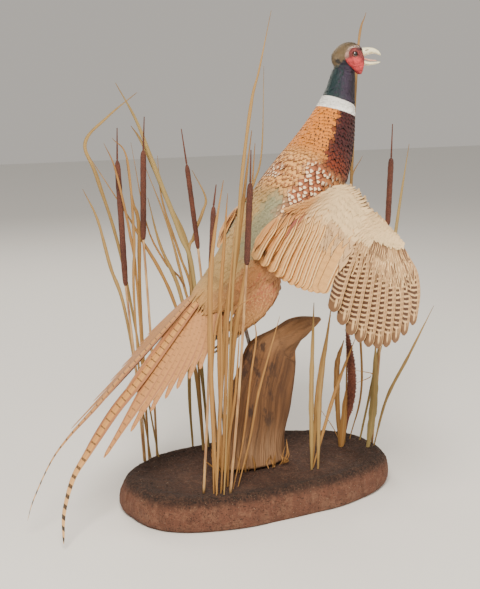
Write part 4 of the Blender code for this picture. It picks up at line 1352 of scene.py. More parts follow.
def head_markings(points: np.ndarray, random: np.random.Generator) -> dict[str, np.ndarray]:
    """Colours of the head: bronze crown, pale brow, dark green cheeks and throat.

    Args:
        points: places on the surface.
        random: source of the small differences between feathers.

    Returns:
        Ground, mark and rim colours, and the pattern.
    """
    f, l, u = PLAN.from_head(points).T
    f, u = f + random.normal(0, 0.0006, len(f)), u + random.normal(0, 0.0006, len(f))
    made = paints(len(f), (0.010, 0.021, 0.025))
    lay(made, np.ones(len(f)), rim=(0.020, 0.038, 0.042), pattern=(0, 0.25, 0.0))
    lay(made, ease(-u, 0.002, 0.012), ground=(0.013, 0.011, 0.022), rim=(0.026, 0.021, 0.040))
    edge = np.interp(f, (-0.024, -0.018, -0.012, -0.005, 0.003, 0.012),
                     (-0.0225, -0.0175, -0.0110, -0.0020, 0.0085, 0.0095))
    crown = ease(u - edge + random.normal(0, 0.0007, len(f)), -0.0014, 0.0014)
    tone = (0.80 + 0.35 * ease(-f, -0.01, 0.02) + random.normal(0, 0.12, len(f)))[:, None]
    made["ground"] = blend(made["ground"], np.array([0.104, 0.072, 0.036]) * tone, crown)
    lay(made, crown, rim=(0.165, 0.118, 0.064), pattern=(0, 0.15, 0.3))
    lay(made, ease(f, 0.009, 0.013) * ease(u, 0.006, 0.009), ground=(0.085, 0.020, 0.030),
        rim=(0.12, 0.03, 0.04))
    ear = 1 - ease(np.hypot(f + 0.0160, u + 0.0085), 0.0030, 0.0040)
    lay(made, ear * (np.abs(l) > 0.006), ground=(0.010, 0.008, 0.008), rim=(0.015, 0.012, 0.012))
    away, turn = np.hypot(f - 0.0082, u - 0.0022), np.degrees(np.arctan2(u - 0.0022, f - 0.0082)) % 360
    arc = np.interp(turn, (50, 63, 113, 160, 211), (0.0125, 0.0122, 0.0104, 0.0108, 0.0126))
    brow = np.exp(-((away - arc) / 0.0019) ** 2) * ease(turn, 50, 64) * (1 - ease(turn, 204, 222))
    lay(made, brow * (np.abs(l) > 0.005), ground=(0.70, 0.52, 0.44), rim=(0.82, 0.66, 0.56))
    return made


@dataclass
class Flesh:
    """The hide, as one closed skin in place of every fleshy solid."""

    body: tuple = ("trunk", "neck", "head", "thigh_left", "thigh_right", "undertail_coverts")
    arms: tuple = ("wing_left_arm", "wing_right_arm")
    voxel: float = 0.0021
    outer_rounds: int = 14
    skin_rounds: int = 10
    # how far the skin lies under the surface of the solids
    body_depth: float = 0.0042
    neck_depth: float = 0.0026
    head_depth: float = 0.0012
    arm_depth: float = 0.0009
    arm_down: tuple = (0.42, 0.27, 0.15)

    def fused(self, names: Sequence[str], rounds: int) -> bpy.types.Mesh:
        """One smooth closed surface round the named solids.

        Args:
            names: the solids.
            rounds: how often the surface is smoothed.

        Returns:
            Its mesh.
        """
        work = bmesh.new()
        for name in names:
            work.from_mesh(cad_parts[name].data)
        mesh = bpy.data.meshes.new("fused")
        work.to_mesh(mesh)
        work.free()
        piece = link("fused", outwards(mesh, 0.00001))
        again = piece.modifiers.new("skin", "REMESH")
        again.mode = "VOXEL"
        again.voxel_size = self.voxel
        soft = piece.modifiers.new("soft", "SMOOTH")
        soft.factor = 0.5
        soft.iterations = rounds
        applied(piece)
        mesh = piece.data
        bpy.data.objects.remove(piece)
        return mesh

    @staticmethod
    def tree(mesh: bpy.types.Mesh) -> BVHTree:
        """Search tree over a mesh."""
        return BVHTree.FromPolygons([v.co for v in mesh.vertices], [p.vertices for p in mesh.polygons])

    def build(self) -> None:
        """Makes the outer surface that feathers lie on, and the skin inside it."""
        self.outer = self.tree(self.fused(self.body, self.outer_rounds))
        skin = self.fused(self.body + self.arms, self.skin_rounds)
        count = len(skin.vertices)
        place = places_of(skin)
        normal = np.array([v.normal for v in skin.vertices])
        depth = np.full(count, self.body_depth)
        s, _ = PLAN.locate(place)
        middle, _, half, *_ = PLAN.section(np.clip(s, 0, PLAN.reach[-1]))
        head = PLAN.from_head(place)
        on_head = ease(head[:, 2], -0.020, -0.008) * (np.linalg.norm(head, axis=1) < 0.045)
        depth += (self.neck_depth - depth) * ease(s, 0.29, 0.35)
        depth += (self.head_depth - depth) * on_head
        away = np.linalg.norm(place - middle, axis=1) - half
        on_arm = ease(away, 0.004, 0.012) * (s > 0.12) * (np.abs(place[:, 1]) > 0.05) * (s < 0.33)
        depth += (self.arm_depth - depth) * on_arm
        place = place - normal * depth[:, None]
        skin.vertices.foreach_set("co", place.ravel())
        random = np.random.default_rng(3)
        marks = body_markings(place, random)
        heads = head_markings(place, random)
        ground = blend(marks["ground"], heads["ground"], on_head)
        ground = blend(ground, np.array(self.arm_down), on_arm)
        ground = blend(ground, np.array(WHITE), PLAN.in_ring(place))
        colour_in(skin, ground)
        skin.shade_smooth()
        skin.name = "hide"
        ride(link("hide", skin, HIDE), "feather_mantle", *(self.body + self.arms))

    def nearest(self, points: np.ndarray) -> tuple[np.ndarray, np.ndarray]:
        """The nearest places on the outer surface, and the way out there."""
        found = [self.outer.find_nearest(Vector(p)) for p in points]
        return np.array([f[0] for f in found]), np.array([f[1] for f in found])

    def struck(self, rays: Iterable[tuple[np.ndarray, np.ndarray, float]]) -> tuple[np.ndarray, ...]:
        """Where rays first meet the outer surface.

        Args:
            rays: start, way and reach of each.

        Returns:
            The places that were met, and the way out at each.
        """
        met = (self.outer.ray_cast(Vector(start), Vector(way), reach) for start, way, reach in rays)
        found = [(np.array(hit), np.array(out)) for hit, out, *_ in met if hit is not None]
        return tuple(np.array(column) for column in zip(*found))


# ---------------------------------------------------------------- small feathers
class VaneGrowth(Growth):
    """One closed vane on each point, bent from its root past a middle handle to its tip."""

    def __init__(self, across: int, along: int) -> None:
        """Builds the tree.

        Args:
            across: vertices over the width of a vane.
            along: vertices over its length.
        """
        super().__init__(f"vane_{across}x{along}", {"Thickness": 0.00035, "Patch": 0.003, "Raggedness": 0.05})
        g = self.graph
        grid = g.node("GeometryNodeMeshGrid", None, {"Size X": 2.0, "Size Y": 1.0, "Vertices X": across,
                                                     "Vertices Y": along})
        spot = g.node("GeometryNodeInputPosition")
        u, y, _ = g.split(spot)
        t = 1 - g.math("MAXIMUM", 0.5 - y, 0.0) ** 1.35
        bulge = g.math("POWER", g.math("MAXIMUM", (1 - abs(u) ** 2.0) * (1 - abs(2 * y) ** 4.0), 0.0), 0.5)
        top = self.keep(grid, "at", g.xyz(u, t, bulge))
        low = self.keep(grid, "at", g.xyz(u, t, -bulge))
        low = g.node("GeometryNodeFlipFaces", None, {"Mesh": low})
        vane = g.node("GeometryNodeMergeByDistance", None,
                      {"Geometry": self.join(low, top), "Distance": 0.0001})
        seeds = g.node("GeometryNodeMeshToPoints", None, {"Mesh": self.given("Geometry")})
        many = g.node("GeometryNodeInstanceOnPoints", None, {"Points": seeds, "Instance": vane})
        real = g.node("GeometryNodeRealizeInstances", None, {"Geometry": many})
        u, t, lift = g.split(self.kept("at"))
        half, camber, point = g.split(self.kept("shape"))
        rag = g.math("SINE", u * 9.0 + point * 37.0) * self.given("Raggedness") * t * t
        tau = t * (1 - (0.20 + 0.10 * point) * u * u * t * t) + rag * (1 - abs(u))
        width = (0.30 + 0.70 * g.ease(t, 0.0, 0.45)) * (1 - 0.62 * g.ease(t, 0.62, 1.06))
        rest = 1 - tau
        root, handle, tip = (self.kept(n) for n in ("root", "handle", "tip"))
        here = g.vector("ADD", g.scaled(root, rest * rest), g.scaled(handle, rest * tau * 2))
        here = g.vector("ADD", here, g.scaled(tip, tau * tau))
        way = g.vector("ADD", g.scaled(g.vector("SUBTRACT", handle, root), rest),
                       g.scaled(g.vector("SUBTRACT", tip, handle), tau))
        side = g.vector("NORMALIZE", self.kept("side"))
        out = g.vector("NORMALIZE", g.vector("CROSS_PRODUCT", side, way))
        here = g.vector("ADD", here, g.scaled(side, u * width * half))
        rise = camber * half * (1 - u * u) + lift * self.given("Thickness")
        here = g.vector("ADD", here, g.scaled(out, rise))
        placed = g.node("GeometryNodeSetPosition", None, {"Geometry": real, "Position": here})
        chart = g.xyz(u * 0.5 + 0.5, t, 0.0)
        mapped = self.keep(placed, "vane", chart, "FLOAT2", "CORNER")
        patch = g.vector("ADD", self.kept("bake"), g.scaled(g.vector("SUBTRACT", chart, (0.5, 0.5, 0.0)),
                                                           self.given("Patch")))
        mapped = self.keep(mapped, "OFBake", patch, "FLOAT2", "CORNER")
        self.close(self.without(mapped, "root", "handle", "tip", "side", "shape", "bake", "at"))


@dataclass
class Follicles:
    """Feathers waiting to grow: rows of roots, handles, tips and colours."""

    rows: dict[str, list[np.ndarray]] = field(default_factory=dict)

    def add(self, root: np.ndarray, handle: np.ndarray, tip: np.ndarray, out: np.ndarray,
            half: np.ndarray, camber: np.ndarray, bake: np.ndarray, marks: dict[str, np.ndarray],
            seed: int = 1) -> None:
        """Adds rows of feathers.

        Args:
            root: where each feather leaves the skin.
            handle: the middle handle of its curve.
            tip: its tip.
            out: the way out of the body.
            half: half widths.
            camber: crown of the vane as a share of the half width.
            bake: place of each root on the unwrap of the skin.
            marks: colours and pattern.
            seed: start of the random roundness.
        """
        point = np.random.default_rng(seed).random(len(root))
        side = unit(np.cross(tip - root, out))
        rows = {"root": root, "handle": handle, "tip": tip, "side": side,
                "shape": np.stack([half, camber, point], -1),
                "bake": np.hstack([bake, np.zeros((len(root), 1))]), **marks}
        for name, value in rows.items():
            self.rows.setdefault(name, []).append(value)

    def grow(self, growth: VaneGrowth, name: str, finish: Finish, slot: str,
             sizes: dict[str, float] | None = None) -> None:
        """Grows the feathers as one piece.

        Args:
            growth: the vane tree.
            name: the piece's name.
            finish: its finish.
            slot: its material slot.
            sizes: inputs of the tree that differ.
        """
        rows = {key: np.concatenate(value) for key, value in self.rows.items()}
        ride(growth.grow(carrier(name, rows["root"], [], rows), name, finish, sizes), slot)


Lie = Callable[[np.ndarray, np.ndarray], np.ndarray]


def inset(share: Any) -> Any:
    """A share of the map, kept clear of its edges."""
    return 0.03 + 0.94 * share


def body_chart(points: np.ndarray) -> np.ndarray:
    """Unwrap of trunk and neck: round the body by along it."""
    s, turn = PLAN.locate(points)
    return np.stack([inset((turn + 180) / 360), inset(np.clip(s / PLAN.chart_length, 0, 1))], -1)


@dataclass
class Coat:
    """Contour feathers of trunk, neck, head and thighs."""

    flesh: Flesh
    thigh: tuple = ((0.004, 0.036, 0.338), (-0.030, 0.044, 0.303), (-0.062, 0.043, 0.273))
    # reach behind the tail's root and drop under it
    wedge: tuple = ((0.034, 0.042), (0.075, 0.044), (0.136, 0.042))

    def build(self) -> None:
        """Grows every zone from its lattice."""
        self.broad, self.fine = VaneGrowth(5, 6), VaneGrowth(3, 4)
        # name, slot, lengths from and to, spacing, length and half width of a feather, growth, finish
        zones = (
            ("rump_coat", "feather_mantle", -0.004, 0.150, 0.0066, 0.0215, 0.0056, self.broad, FEATHER),
            ("back_coat", "feather_mantle", 0.150, 0.250, 0.0082, 0.0200, 0.0064, self.broad, FEATHER),
            ("mantle_coat", "feather_mantle", 0.250, 0.346, 0.0064, 0.0145, 0.0050, self.broad, FEATHER),
            ("neck_coat", "feather_neck", 0.334, 0.402, 0.0030, 0.0078, 0.0025, self.fine, GLOSSY),
        )
        for name, slot, start, end, gap, length, half, growth, finish in zones:
            roots, out = self.lattice(start, end, gap)
            held = Follicles()
            self.place(held, roots, out, self.tailward, length, half, body_markings)
            held.grow(growth, name, finish, slot)
        self.skirt()
        self.head()
        self.thighs()

    def lattice(self, start: float, end: float, gap: float) -> tuple[np.ndarray, np.ndarray]:
        """Places on the trunk or neck in staggered rows.

        Args:
            start: the first length along the body.
            end: the last length.
            gap: the distance between rows and between feathers.

        Returns:
            Places on the surface and the way out at each.
        """
        random = np.random.default_rng(int(start * 1000) + 5)

        def rays() -> Iterator[tuple[np.ndarray, np.ndarray, float]]:
            """Rays inwards from round the body, row by row.

            Yields:
                Start, way and greatest length of each ray.
            """
            for row, s in enumerate(np.arange(start, end, gap * 0.86)):
                middle, back, half, rise, drop = (v[0] for v in PLAN.section(np.array([max(s, 0.0)])))
                middle = middle + PLAN.forward(np.array([0.0]))[0] * min(s, 0.0)
                ahead = unit(PLAN.forward(np.array([s]))[0])
                girth = math.pi * (half + (rise + drop) / 2)
                for turn in staggered(max(6, int(girth / gap)), row, 0.10, random):
                    high, wide = math.cos(turn), math.sin(turn)
                    way = back * high + np.array([0.0, wide, 0.0])
                    centre = middle + ahead * random.normal(0, gap * 0.10)
                    size = math.hypot(half * wide, (rise if high > 0 else drop) * high)
                    yield centre + way * (size + 0.007), -way, size

        return self.flesh.struck(rays())

    @staticmethod
    def tailward(places: np.ndarray, out: np.ndarray) -> np.ndarray:
        """The usual lie of the coat: towards the tail, along the surface."""
        s, _ = PLAN.locate(places)
        return level(-PLAN.forward(np.clip(s, 0, PLAN.reach[-1])), out)

    def place(self, held: Follicles, roots: np.ndarray, out: np.ndarray, lie: Lie, length: Any, half: Any,
              marks: Any, depth: float = 0.0036, lift: float = 0.0006,
              chart: Callable[[np.ndarray], np.ndarray] = body_chart, seed: int = 11) -> None:
        """Turns roots into feathers that lie along the surface.

        Args:
            held: where the feathers go.
            roots: places on the outer surface.
            out: the way out at each place.
            lie: gives the way of the coat.
            length: feather lengths.
            half: half widths.
            marks: colours and pattern, or what gives them for the places that show.
            depth: how far the roots are sunk.
            lift: how far the tips stand above the surface.
            chart: gives the unwrap of the skin at a place.
            seed: start of the random differences.
        """
        random = np.random.default_rng(seed)
        count = len(roots)
        length = np.broadcast_to(length, count) * random.normal(1, 0.07, count)
        half = np.broadcast_to(half, count) * random.normal(1, 0.06, count)
        sway = random.normal(0, 0.07, count)[:, None]
        way = lie(roots, out)
        way = unit(way + np.cross(out, way) * sway)
        middle, out_mid = self.flesh.nearest(roots + way * (length / 2)[:, None])
        way_mid = unit(lie(middle, out_mid) + np.cross(out_mid, lie(middle, out_mid)) * sway)
        tip, out_tip = self.flesh.nearest(middle + way_mid * (length / 2)[:, None])
        start = roots - out * depth
        tip = tip + out_tip * (lift * random.uniform(0.6, 1.5, count))[:, None]
        half_way = middle - out_mid * (depth * 0.10)
        handle = 2 * half_way - (start + tip) / 2
        if callable(marks):
            marks = marks(middle + (tip - middle) * 0.62, np.random.default_rng(seed))
        held.add(start, handle, tip, out_mid, half, np.full(count, 0.16), chart(roots), marks, seed)

    def head(self) -> None:
        """The head's smallest feathers, from the bill back and down the throat."""
        random = np.random.default_rng(21)
        radius, gap, reach = 0.020, 0.0021, 0.040

        def rays() -> Iterator[tuple[np.ndarray, np.ndarray, float]]:
            """Rays to the middle of the skull, in rows round the bill's axis.

            Yields:
                Start, way and greatest length of each ray.
            """
            for row, tilt in enumerate(np.arange(8, 168, 5.4)):
                count = max(3, int(2 * math.pi * radius * math.sin(math.radians(tilt)) / gap))
                for turn in staggered(count, row, 0.12, random):
                    a = math.radians(tilt + random.normal(0, 0.8))
                    way = PLAN.head_way((math.cos(a), math.sin(a) * math.sin(turn),
                                         math.sin(a) * math.cos(turn)))
                    yield np.array(PLAN.head_middle) + way * reach, -way, reach

        spots, outs = self.flesh.struck(rays())
        f, l, u = PLAN.from_head(spots).T
        # bare under the wattle, round the eye, on the bill and off the head
        bare = (np.hypot(f - 0.0095, u + 0.004) < 0.0100) & (np.abs(l) > 0.009)
        bare |= (np.hypot(f - 0.0082, u - 0.0022) < 0.0078) & (np.abs(l) > 0.008)
        bare |= (f > 0.0215) | (np.abs(PLAN.from_head(spots)).max(axis=1) > 0.034)
        spots, outs = spots[~bare], outs[~bare]
        f = f[~bare]

        def lie(places: np.ndarray, out: np.ndarray) -> np.ndarray:
            """Backwards, and down behind the skull.

            Args:
                places: roots of the feathers.
                out: ways out at them.

            Returns:
                The ways that they point.
            """
            fore = PLAN.from_head(places)[:, 0]
            drop = -0.25 - 1.5 * ease(-fore, 0.002, 0.020)
            return level(PLAN.head_way(np.stack([-np.ones(len(places)), 0 * fore, drop], -1)), out)

        def chart(places: np.ndarray) -> np.ndarray:
            """Unwrap of the head: round the bill's axis by the angle from it.

            Args:
                places: roots of the feathers.

            Returns:
                Their places on the map.
            """
            a, b, c = PLAN.from_head(places).T
            tilt = np.arctan2(np.hypot(b, c), a) / math.pi
            return np.stack([inset(np.arctan2(b, c) / (2 * math.pi) + 0.5), inset(tilt)], -1)

        size = 0.0038 + 0.0020 * ease(-f, -0.006, 0.016)
        held = Follicles()
        self.place(held, spots, outs, lie, size, size * 0.30, head_markings, 0.0008, 0.00025, chart, 23)
        held.grow(self.fine, "head_coat", GLOSSY, "feather_crown", {"Thickness": 0.0002})

    def skirt(self) -> None:
        """Long coverts that run on from the rump's end and close in round the tail."""
        roots, out = self.lattice(-0.002, 0.030, 0.0068)
        random = np.random.default_rng(51)
        s, turn = PLAN.locate(roots)
        phi, count = np.abs(turn), len(roots)
        back = unit(np.array(Tail.back))
        inward = 0.11 + 0.17 * ease(phi, 5, 60) + 0.16 * ease(phi, 80, 140) + random.normal(0, 0.02, count)
        length = (0.043 - 0.010 * ease(phi, 60, 110)) * random.normal(1, 0.10, count)
        way = unit(back - out * inward[:, None])
        tip = roots + way * length[:, None]
        start = roots - out * 0.0030
        middle = roots + unit(back - out * (inward * 0.4)[:, None]) * (length * 0.52)[:, None] + out * 0.0008
        marks = body_markings(roots, random)
        lay(marks, 1 - ease(s, 0.000, 0.040), ground=(0.44, 0.255, 0.110), rim=(0.55, 0.35, 0.17),
            mark=(0.2, 0.1, 0.05), pattern=(0, 0.10, 0.25))
        held = Follicles()
        held.add(start, 2 * middle - (start + tip) / 2, tip, out, 0.0062 * random.normal(1, 0.08, count),
                 np.full(count, 0.12), body_chart(roots), marks, 52)
        held.grow(self.broad, "tail_coverts", FEATHER, "feather_mantle")

    def thighs(self) -> None:
        """Thighs and the soft wedge under the tail."""
        random = np.random.default_rng(31)
        held = Follicles()
        back = np.array(Tail.back)
        for hand in (-1, 1):
            axis = np.array(self.thigh) * (1, hand, 1)
            spots, outs = self.round_axis(axis, 0.026, 0.0062, random)
            marks = paints(len(spots), (0.43, 0.225, 0.095))
            lay(marks, ease(spots[:, 2], 0.300, 0.335), ground=(0.34, 0.120, 0.060))
            lay(marks, np.ones(len(spots)), rim=(0.56, 0.33, 0.16), mark=(0.04, 0.02, 0.02),
                pattern=(0, 0.07, 0.3))
            way = unit(axis[-1] - axis[0])
            self.place(held, spots, outs, self.straight(way), 0.0255, 0.0055, marks, 0.0026, 0.0007,
                       seed=32 + hand)
        root, under = np.array(Tail.root), np.array(Tail.under)
        axis = np.array([root + back * reach + under * drop for reach, drop in self.wedge])
        spots, outs = self.round_axis(axis, 0.036, 0.0066, random)
        marks = paints(len(spots), (0.41, 0.20, 0.095))
        red = np.exp(-((spots[:, 0] + 0.112) / 0.016) ** 2)
        lay(marks, red, ground=(0.27, 0.085, 0.045))
        lay(marks, np.ones(len(spots)), rim=(0.52, 0.27, 0.14), mark=(0.10, 0.03, 0.02),
            pattern=(0.2, 0.08, 0.3))
        self.place(held, spots, outs, self.straight(back), 0.030, 0.0060, marks, 0.0022, 0.0008, seed=35)
        held.grow(self.broad, "thigh_coat", FEATHER, "feather_mantle")

    def round_axis(self, axis: np.ndarray, radius: float, gap: float,
                   random: np.random.Generator) -> tuple[np.ndarray, np.ndarray]:
        """Staggered places round a bent axis, on the outer surface.

        Args:
            axis: the points that the axis bends through.
            radius: about how far the surface is from it.
            gap: the distance between rows and between feathers.
            random: source of the small shifts.

        Returns:
            Places on the surface and the way out at each.
        """
        total = np.linalg.norm(np.diff(axis, axis=0), axis=1).sum()
        step, reach = 0.02, radius + 0.010

        def rays() -> Iterator[tuple[np.ndarray, np.ndarray, float]]:
            """Rays to the axis from round it.

            Yields:
                Start, way and greatest length of each ray.
            """
            for row, t in enumerate(np.arange(step, 1.0, gap * 0.8 / total)):
                middle, before, after = (curve_through(axis, at)[0]
                                         for at in (t, max(t - step, 0.0), min(t + step, 1.0)))
                way = unit(after - before)
                first = unit(np.cross(way, UP))
                second = np.cross(way, first)
                count = int(2 * math.pi * radius * (1 - 0.5 * t) / gap)
                for turn in staggered(count, row, 0.1, random):
                    out = first * math.cos(turn) + second * math.sin(turn)
                    yield middle + out * reach, -out, reach

        return self.flesh.struck(rays())

    @staticmethod
    def straight(way: np.ndarray) -> Lie:
        """A lie that follows one direction along the surface."""
        return lambda places, out: level(np.tile(way, (len(places), 1)), out)


# ---------------------------------------------------------------- long blades
class BladeGrowth(Growth):
    """A flat closed blade along each line of points: a quill or a reed leaf."""

    def __init__(self, name: str) -> None:
        """Builds the tree under a name.

        Args:
            name: the tree's name.
        """
        super().__init__(name, {"Thickness": 0.05, "Fold": 0.0})
        g = self.graph
        line = g.node("GeometryNodeMeshToCurve", None, {"Mesh": self.given("Geometry")})
        line = g.node("GeometryNodeSetCurveNormal", {"mode": "FREE"},
                      {"Curve": line, "Normal": self.kept("facing")})
        circle = g.node("GeometryNodeCurvePrimitiveCircle", {"mode": "RADIUS"},
                        {"Resolution": 12, "Radius": 1.0})
        spot = g.node("GeometryNodeInputPosition")
        x, y, _ = g.split(spot)
        lift = y * self.given("Thickness") * (1 - x * x * 0.55) - abs(x) * self.given("Fold")
        flat = g.xyz(lift, x, 0.0)
        ring = self.keep(circle, "at", g.xyz(x, y, 0.0))
        profile = g.node("GeometryNodeSetPosition", None, {"Geometry": ring, "Position": flat})
        blade = g.node("GeometryNodeCurveToMesh", None,
                       {"Curve": line, "Profile Curve": profile, "Scale": self.kept("half", "FLOAT"),
                        "Fill Caps": True})
        u, _, _ = g.split(self.kept("at"))
        _, _, turned = g.split(self.kept("strip"))
        chart = g.xyz(u * turned * 0.5 + 0.5, self.kept("along", "FLOAT"), 0.0)
        mapped = self.keep(blade, "vane", chart, "FLOAT2", "CORNER")
        strip = g.vector("MULTIPLY_ADD", chart, self.kept("strip"), self.kept("bake"))
        mapped = self.keep(mapped, "OFBake", strip, "FLOAT2", "CORNER")
        self.close(self.without(mapped, "at", "facing", "half", "along", "strip", "bake"))


@dataclass
class Blades:
    """Lines of points that become blades."""

    total: int = 20
    lines: list[dict[str, np.ndarray]] = field(default_factory=list)

    def add(self, path: np.ndarray, half: np.ndarray, facing: np.ndarray, pattern: Sequence[float],
            turned: float = 1.0) -> None:
        """Adds one blade.

        Args:
            path: its middle line.
            half: half width at each point.
            facing: the way that its upper side faces, at each point or for all.
            pattern: three values that its finish reads; the first becomes the length.
            turned: -1 swaps its two edges on the map.
        """
        gone = np.concatenate([[0.0], np.cumsum(np.linalg.norm(np.diff(path, axis=0), axis=1))])
        count, place = len(path), len(self.lines)
        strip = 1.0 / self.total
        facing = np.broadcast_to(np.asarray(facing, float), (count, 3))
        ahead = unit(np.gradient(path, axis=0))
        self.lines.append({
            "path": path, "facing": level(facing, ahead),
            "pattern": np.tile([gone[-1], pattern[1], pattern[2]], (count, 1)),
            "strip": np.tile([strip * 0.86, 0.96, turned], (count, 1)),
            "bake": np.tile([place * strip + strip * 0.07, 0.02, 0.0], (count, 1)),
            "half": np.asarray(half, float), "along": gone / gone[-1]})

    def grow(self, growth: BladeGrowth, name: str, finish: Finish, slot: str,
             sizes: dict[str, float], nodes: Sequence[str]) -> None:
        """Grows the blades as one piece.

        Args:
            growth: the blade tree.
            name: the piece's name.
            finish: its finish.
            slot: its material slot.
            sizes: inputs of the tree that differ.
            nodes: the solids that it stands for.
        """
        edges, start = [], 0
        for row in self.lines:
            count = len(row["path"])
            edges += [(start + k, start + k + 1) for k in range(count - 1)]
            start += count
        kept = {key: np.concatenate([row[key] for row in self.lines]) for key in self.lines[0]}
        piece = growth.grow(carrier(name, kept.pop("path"), edges, kept), name, finish, sizes)
        outwards(piece.data).shade_smooth()
        ride(piece, slot, *nodes)


class Hand(Enum):
    """Which side of the bird."""

    RIGHT = -1
    LEFT = 1

    @property
    def side(self) -> str:
        """The side's name."""
        return self.name.lower()

    @property
    def mirror(self) -> tuple[int, int, int]:
        """What turns a place on the right wing into one on this side."""
        return 1, -self.value, 1


SECONDARY = Quill("secondary_quill", 0.55, (0.78, 0.485, 0.220), (0.25, 0.115, 0.050), (0.90, 0.67, 0.37),
                  (0.88, 0.70, 0.44), -0.45)
PRIMARY = PrimaryQuill("primary_quill", 0.55, (0.37, 0.23, 0.130), (0.080, 0.038, 0.021), (0.72, 0.53, 0.33),
                       (0.56, 0.39, 0.23), -0.62)
TAIL = TailQuill("tail_quill", 0.50, (0.60, 0.325, 0.115), (0.022, 0.013, 0.010), (0.76, 0.52, 0.27),
                 (0.50, 0.28, 0.14), 0.0, 0.45)


@dataclass
class Wings:
    """Both wings: quills, and their coverts in rows over the arm."""

    edge: tuple = ((0.016, -0.062, 0.439), (0.056, -0.068, 0.453), (0.090, -0.070, 0.468),
                   (0.100, -0.095, 0.465), (0.091, -0.150, 0.443))
    hand_end: tuple = (0.100, -0.195, 0.413)
    secondary_tips: tuple = ((-0.041, -0.052, 0.375), (0.0115, -0.0795, 0.3215), (0.018, -0.143, 0.334))
    primary_tips: tuple = ((0.015, -0.165, 0.323), (0.044, -0.2315, 0.225), (0.089, -0.260, 0.315))
    out_arm: tuple = (-0.74, -0.20, 0.61)
    out_hand: tuple = (-0.68, -0.45, 0.58)
    lead: tuple = (0.676, -0.625, 0.341)
    camber: float = 0.010
    bow: float = 0.015
    first_primary: float = 1.025
    thickness: float = 0.0085
    secondary_half: float = 0.0122
    primary_half: float = 0.0118
    primary_thinning: float = 0.0026
    quill_root: float = 0.26
    quill_lift: float = 0.0002
    quill_tilt: float = 0.10
    covert_sunk: float = -0.0014
    arm_profile: tuple = ((-0.03, 0.0), (0.02, 0.55), (0.12, 0.80), (0.28, 0.50), (0.46, 0.14))
    arm_under: tuple = ((-0.03, 0.0), (0.0, -0.45), (0.10, -0.60), (0.28, -0.30), (0.46, -0.14))
    # chord of the roots, length, half width, spacing in span, first and last span
    covert_rows: tuple = (
        (0.46, 0.060, 0.0072, 0.062, 0.0, 0.40), (0.36, 0.056, 0.0070, 0.055, 0.0, 0.36),
        (0.27, 0.052, 0.0066, 0.050, 0.0, 0.32), (0.17, 0.046, 0.0062, 0.048, 0.0, 0.27),
        (0.27, 0.050, 0.0037, 0.040, 1.04, 1.98), (0.20, 0.048, 0.0036, 0.038, 1.02, 1.98),
        (0.13, 0.040, 0.0035, 0.036, 1.08, 1.98), (0.44, 0.034, 0.0068, 0.056, 0.32, 1.12),
        (0.37, 0.030, 0.0062, 0.050, 0.30, 1.10), (0.30, 0.027, 0.0058, 0.046, 0.27, 1.08),
        (0.24, 0.024, 0.0056, 0.040, 0.24, 1.10), (0.185, 0.021, 0.0054, 0.038, 0.20, 1.30),
        (0.135, 0.020, 0.0052, 0.035, 0.16, 1.30), (0.09, 0.019, 0.0050, 0.033, 0.12, 1.96),
        (0.05, 0.018, 0.0048, 0.031, 0.08, 1.96), (0.015, 0.016, 0.0045, 0.030, 0.04, 1.96),
        (-0.015, 0.013, 0.0042, 0.030, 0.0, 1.96))

    def leading(self, span: np.ndarray) -> np.ndarray:
        """Leading edge at spans from 0 at the shoulder to 2 at the wing's end.

        Args:
            span: the spans.

        Returns:
            A point for each span.
        """
        arm = curve_through(self.edge, np.clip(span, 0, 1))
        hand = blend(np.array(self.edge[-1]), np.array(self.hand_end), np.clip(span - 1, 0, 1))
        return np.where((span > 1)[:, None], hand, arm)

    def trailing(self, span: np.ndarray) -> np.ndarray:
        """Tips of the quills at the same spans.

        Args:
            span: the spans.

        Returns:
            A point for each span.
        """
        arm = bezier(self.secondary_tips, np.clip(span, 0, 1))
        share = (span - self.first_primary) / (2 - self.first_primary)
        hand = bezier(self.primary_tips, np.clip(share, 0, 1))
        return np.where((span > 1)[:, None], hand, arm)

    def out(self, span: np.ndarray) -> np.ndarray:
        """The way that the upper side faces."""
        share = np.clip(span / 2, 0, 1)
        return unit(blend(unit(np.array(self.out_arm)), unit(np.array(self.out_hand)), share))

    def at(self, hand: Hand, span: Any, chord: Any, lift: Any = 0.0) -> np.ndarray:
        """Points of a wing.

        Args:
            hand: which wing.
            span: 0 at the shoulder, 1 at the wrist's end, 2 at the wing's end.
            chord: 0 at the leading edge, 1 at the tips of the quills.
            lift: height over the middle surface.

        Returns:
            The points.
        """
        span, chord, lift = np.broadcast_arrays(*(np.atleast_1d(np.asarray(v, float))
                                                  for v in (span, chord, lift)))
        start, tip = self.leading(span), self.trailing(span)
        crown = 4 * chord * (1 - chord)
        share = np.clip(span - 1, 0, 1)
        points = start + (tip - start) * chord[:, None]
        points = points + self.out(span) * (self.camber * crown + lift)[:, None]
        points = points + unit(np.array(self.lead)) * (self.bow * crown * share ** 2)[:, None]
        return points * hand.mirror

    def skin_lift(self, span: np.ndarray, chord: np.ndarray, under: bool = False) -> np.ndarray:
        """Height of the arm's flesh from the middle surface.

        Args:
            span: 0 at the shoulder, 2 at the wing's end.
            chord: 0 at the leading edge, 1 at the quills' tips.
            under: asks for the lower side.

        Returns:
            The heights; those of the lower side are negative.
        """
        rows = np.array(self.arm_under if under else self.arm_profile)
        thick = self.thickness * (1 - 0.62 * np.clip(span - 0.7, 0, None) / 1.3)
        return np.interp(chord, rows[:, 0], rows[:, 1]) * thick

    def build(self) -> None:
        """Makes both wings."""
        self.growth = BladeGrowth("quill_growth")
        self.vanes = VaneGrowth(5, 6)
        for hand in Hand:
            self.quills(hand)
            self.coverts(hand)

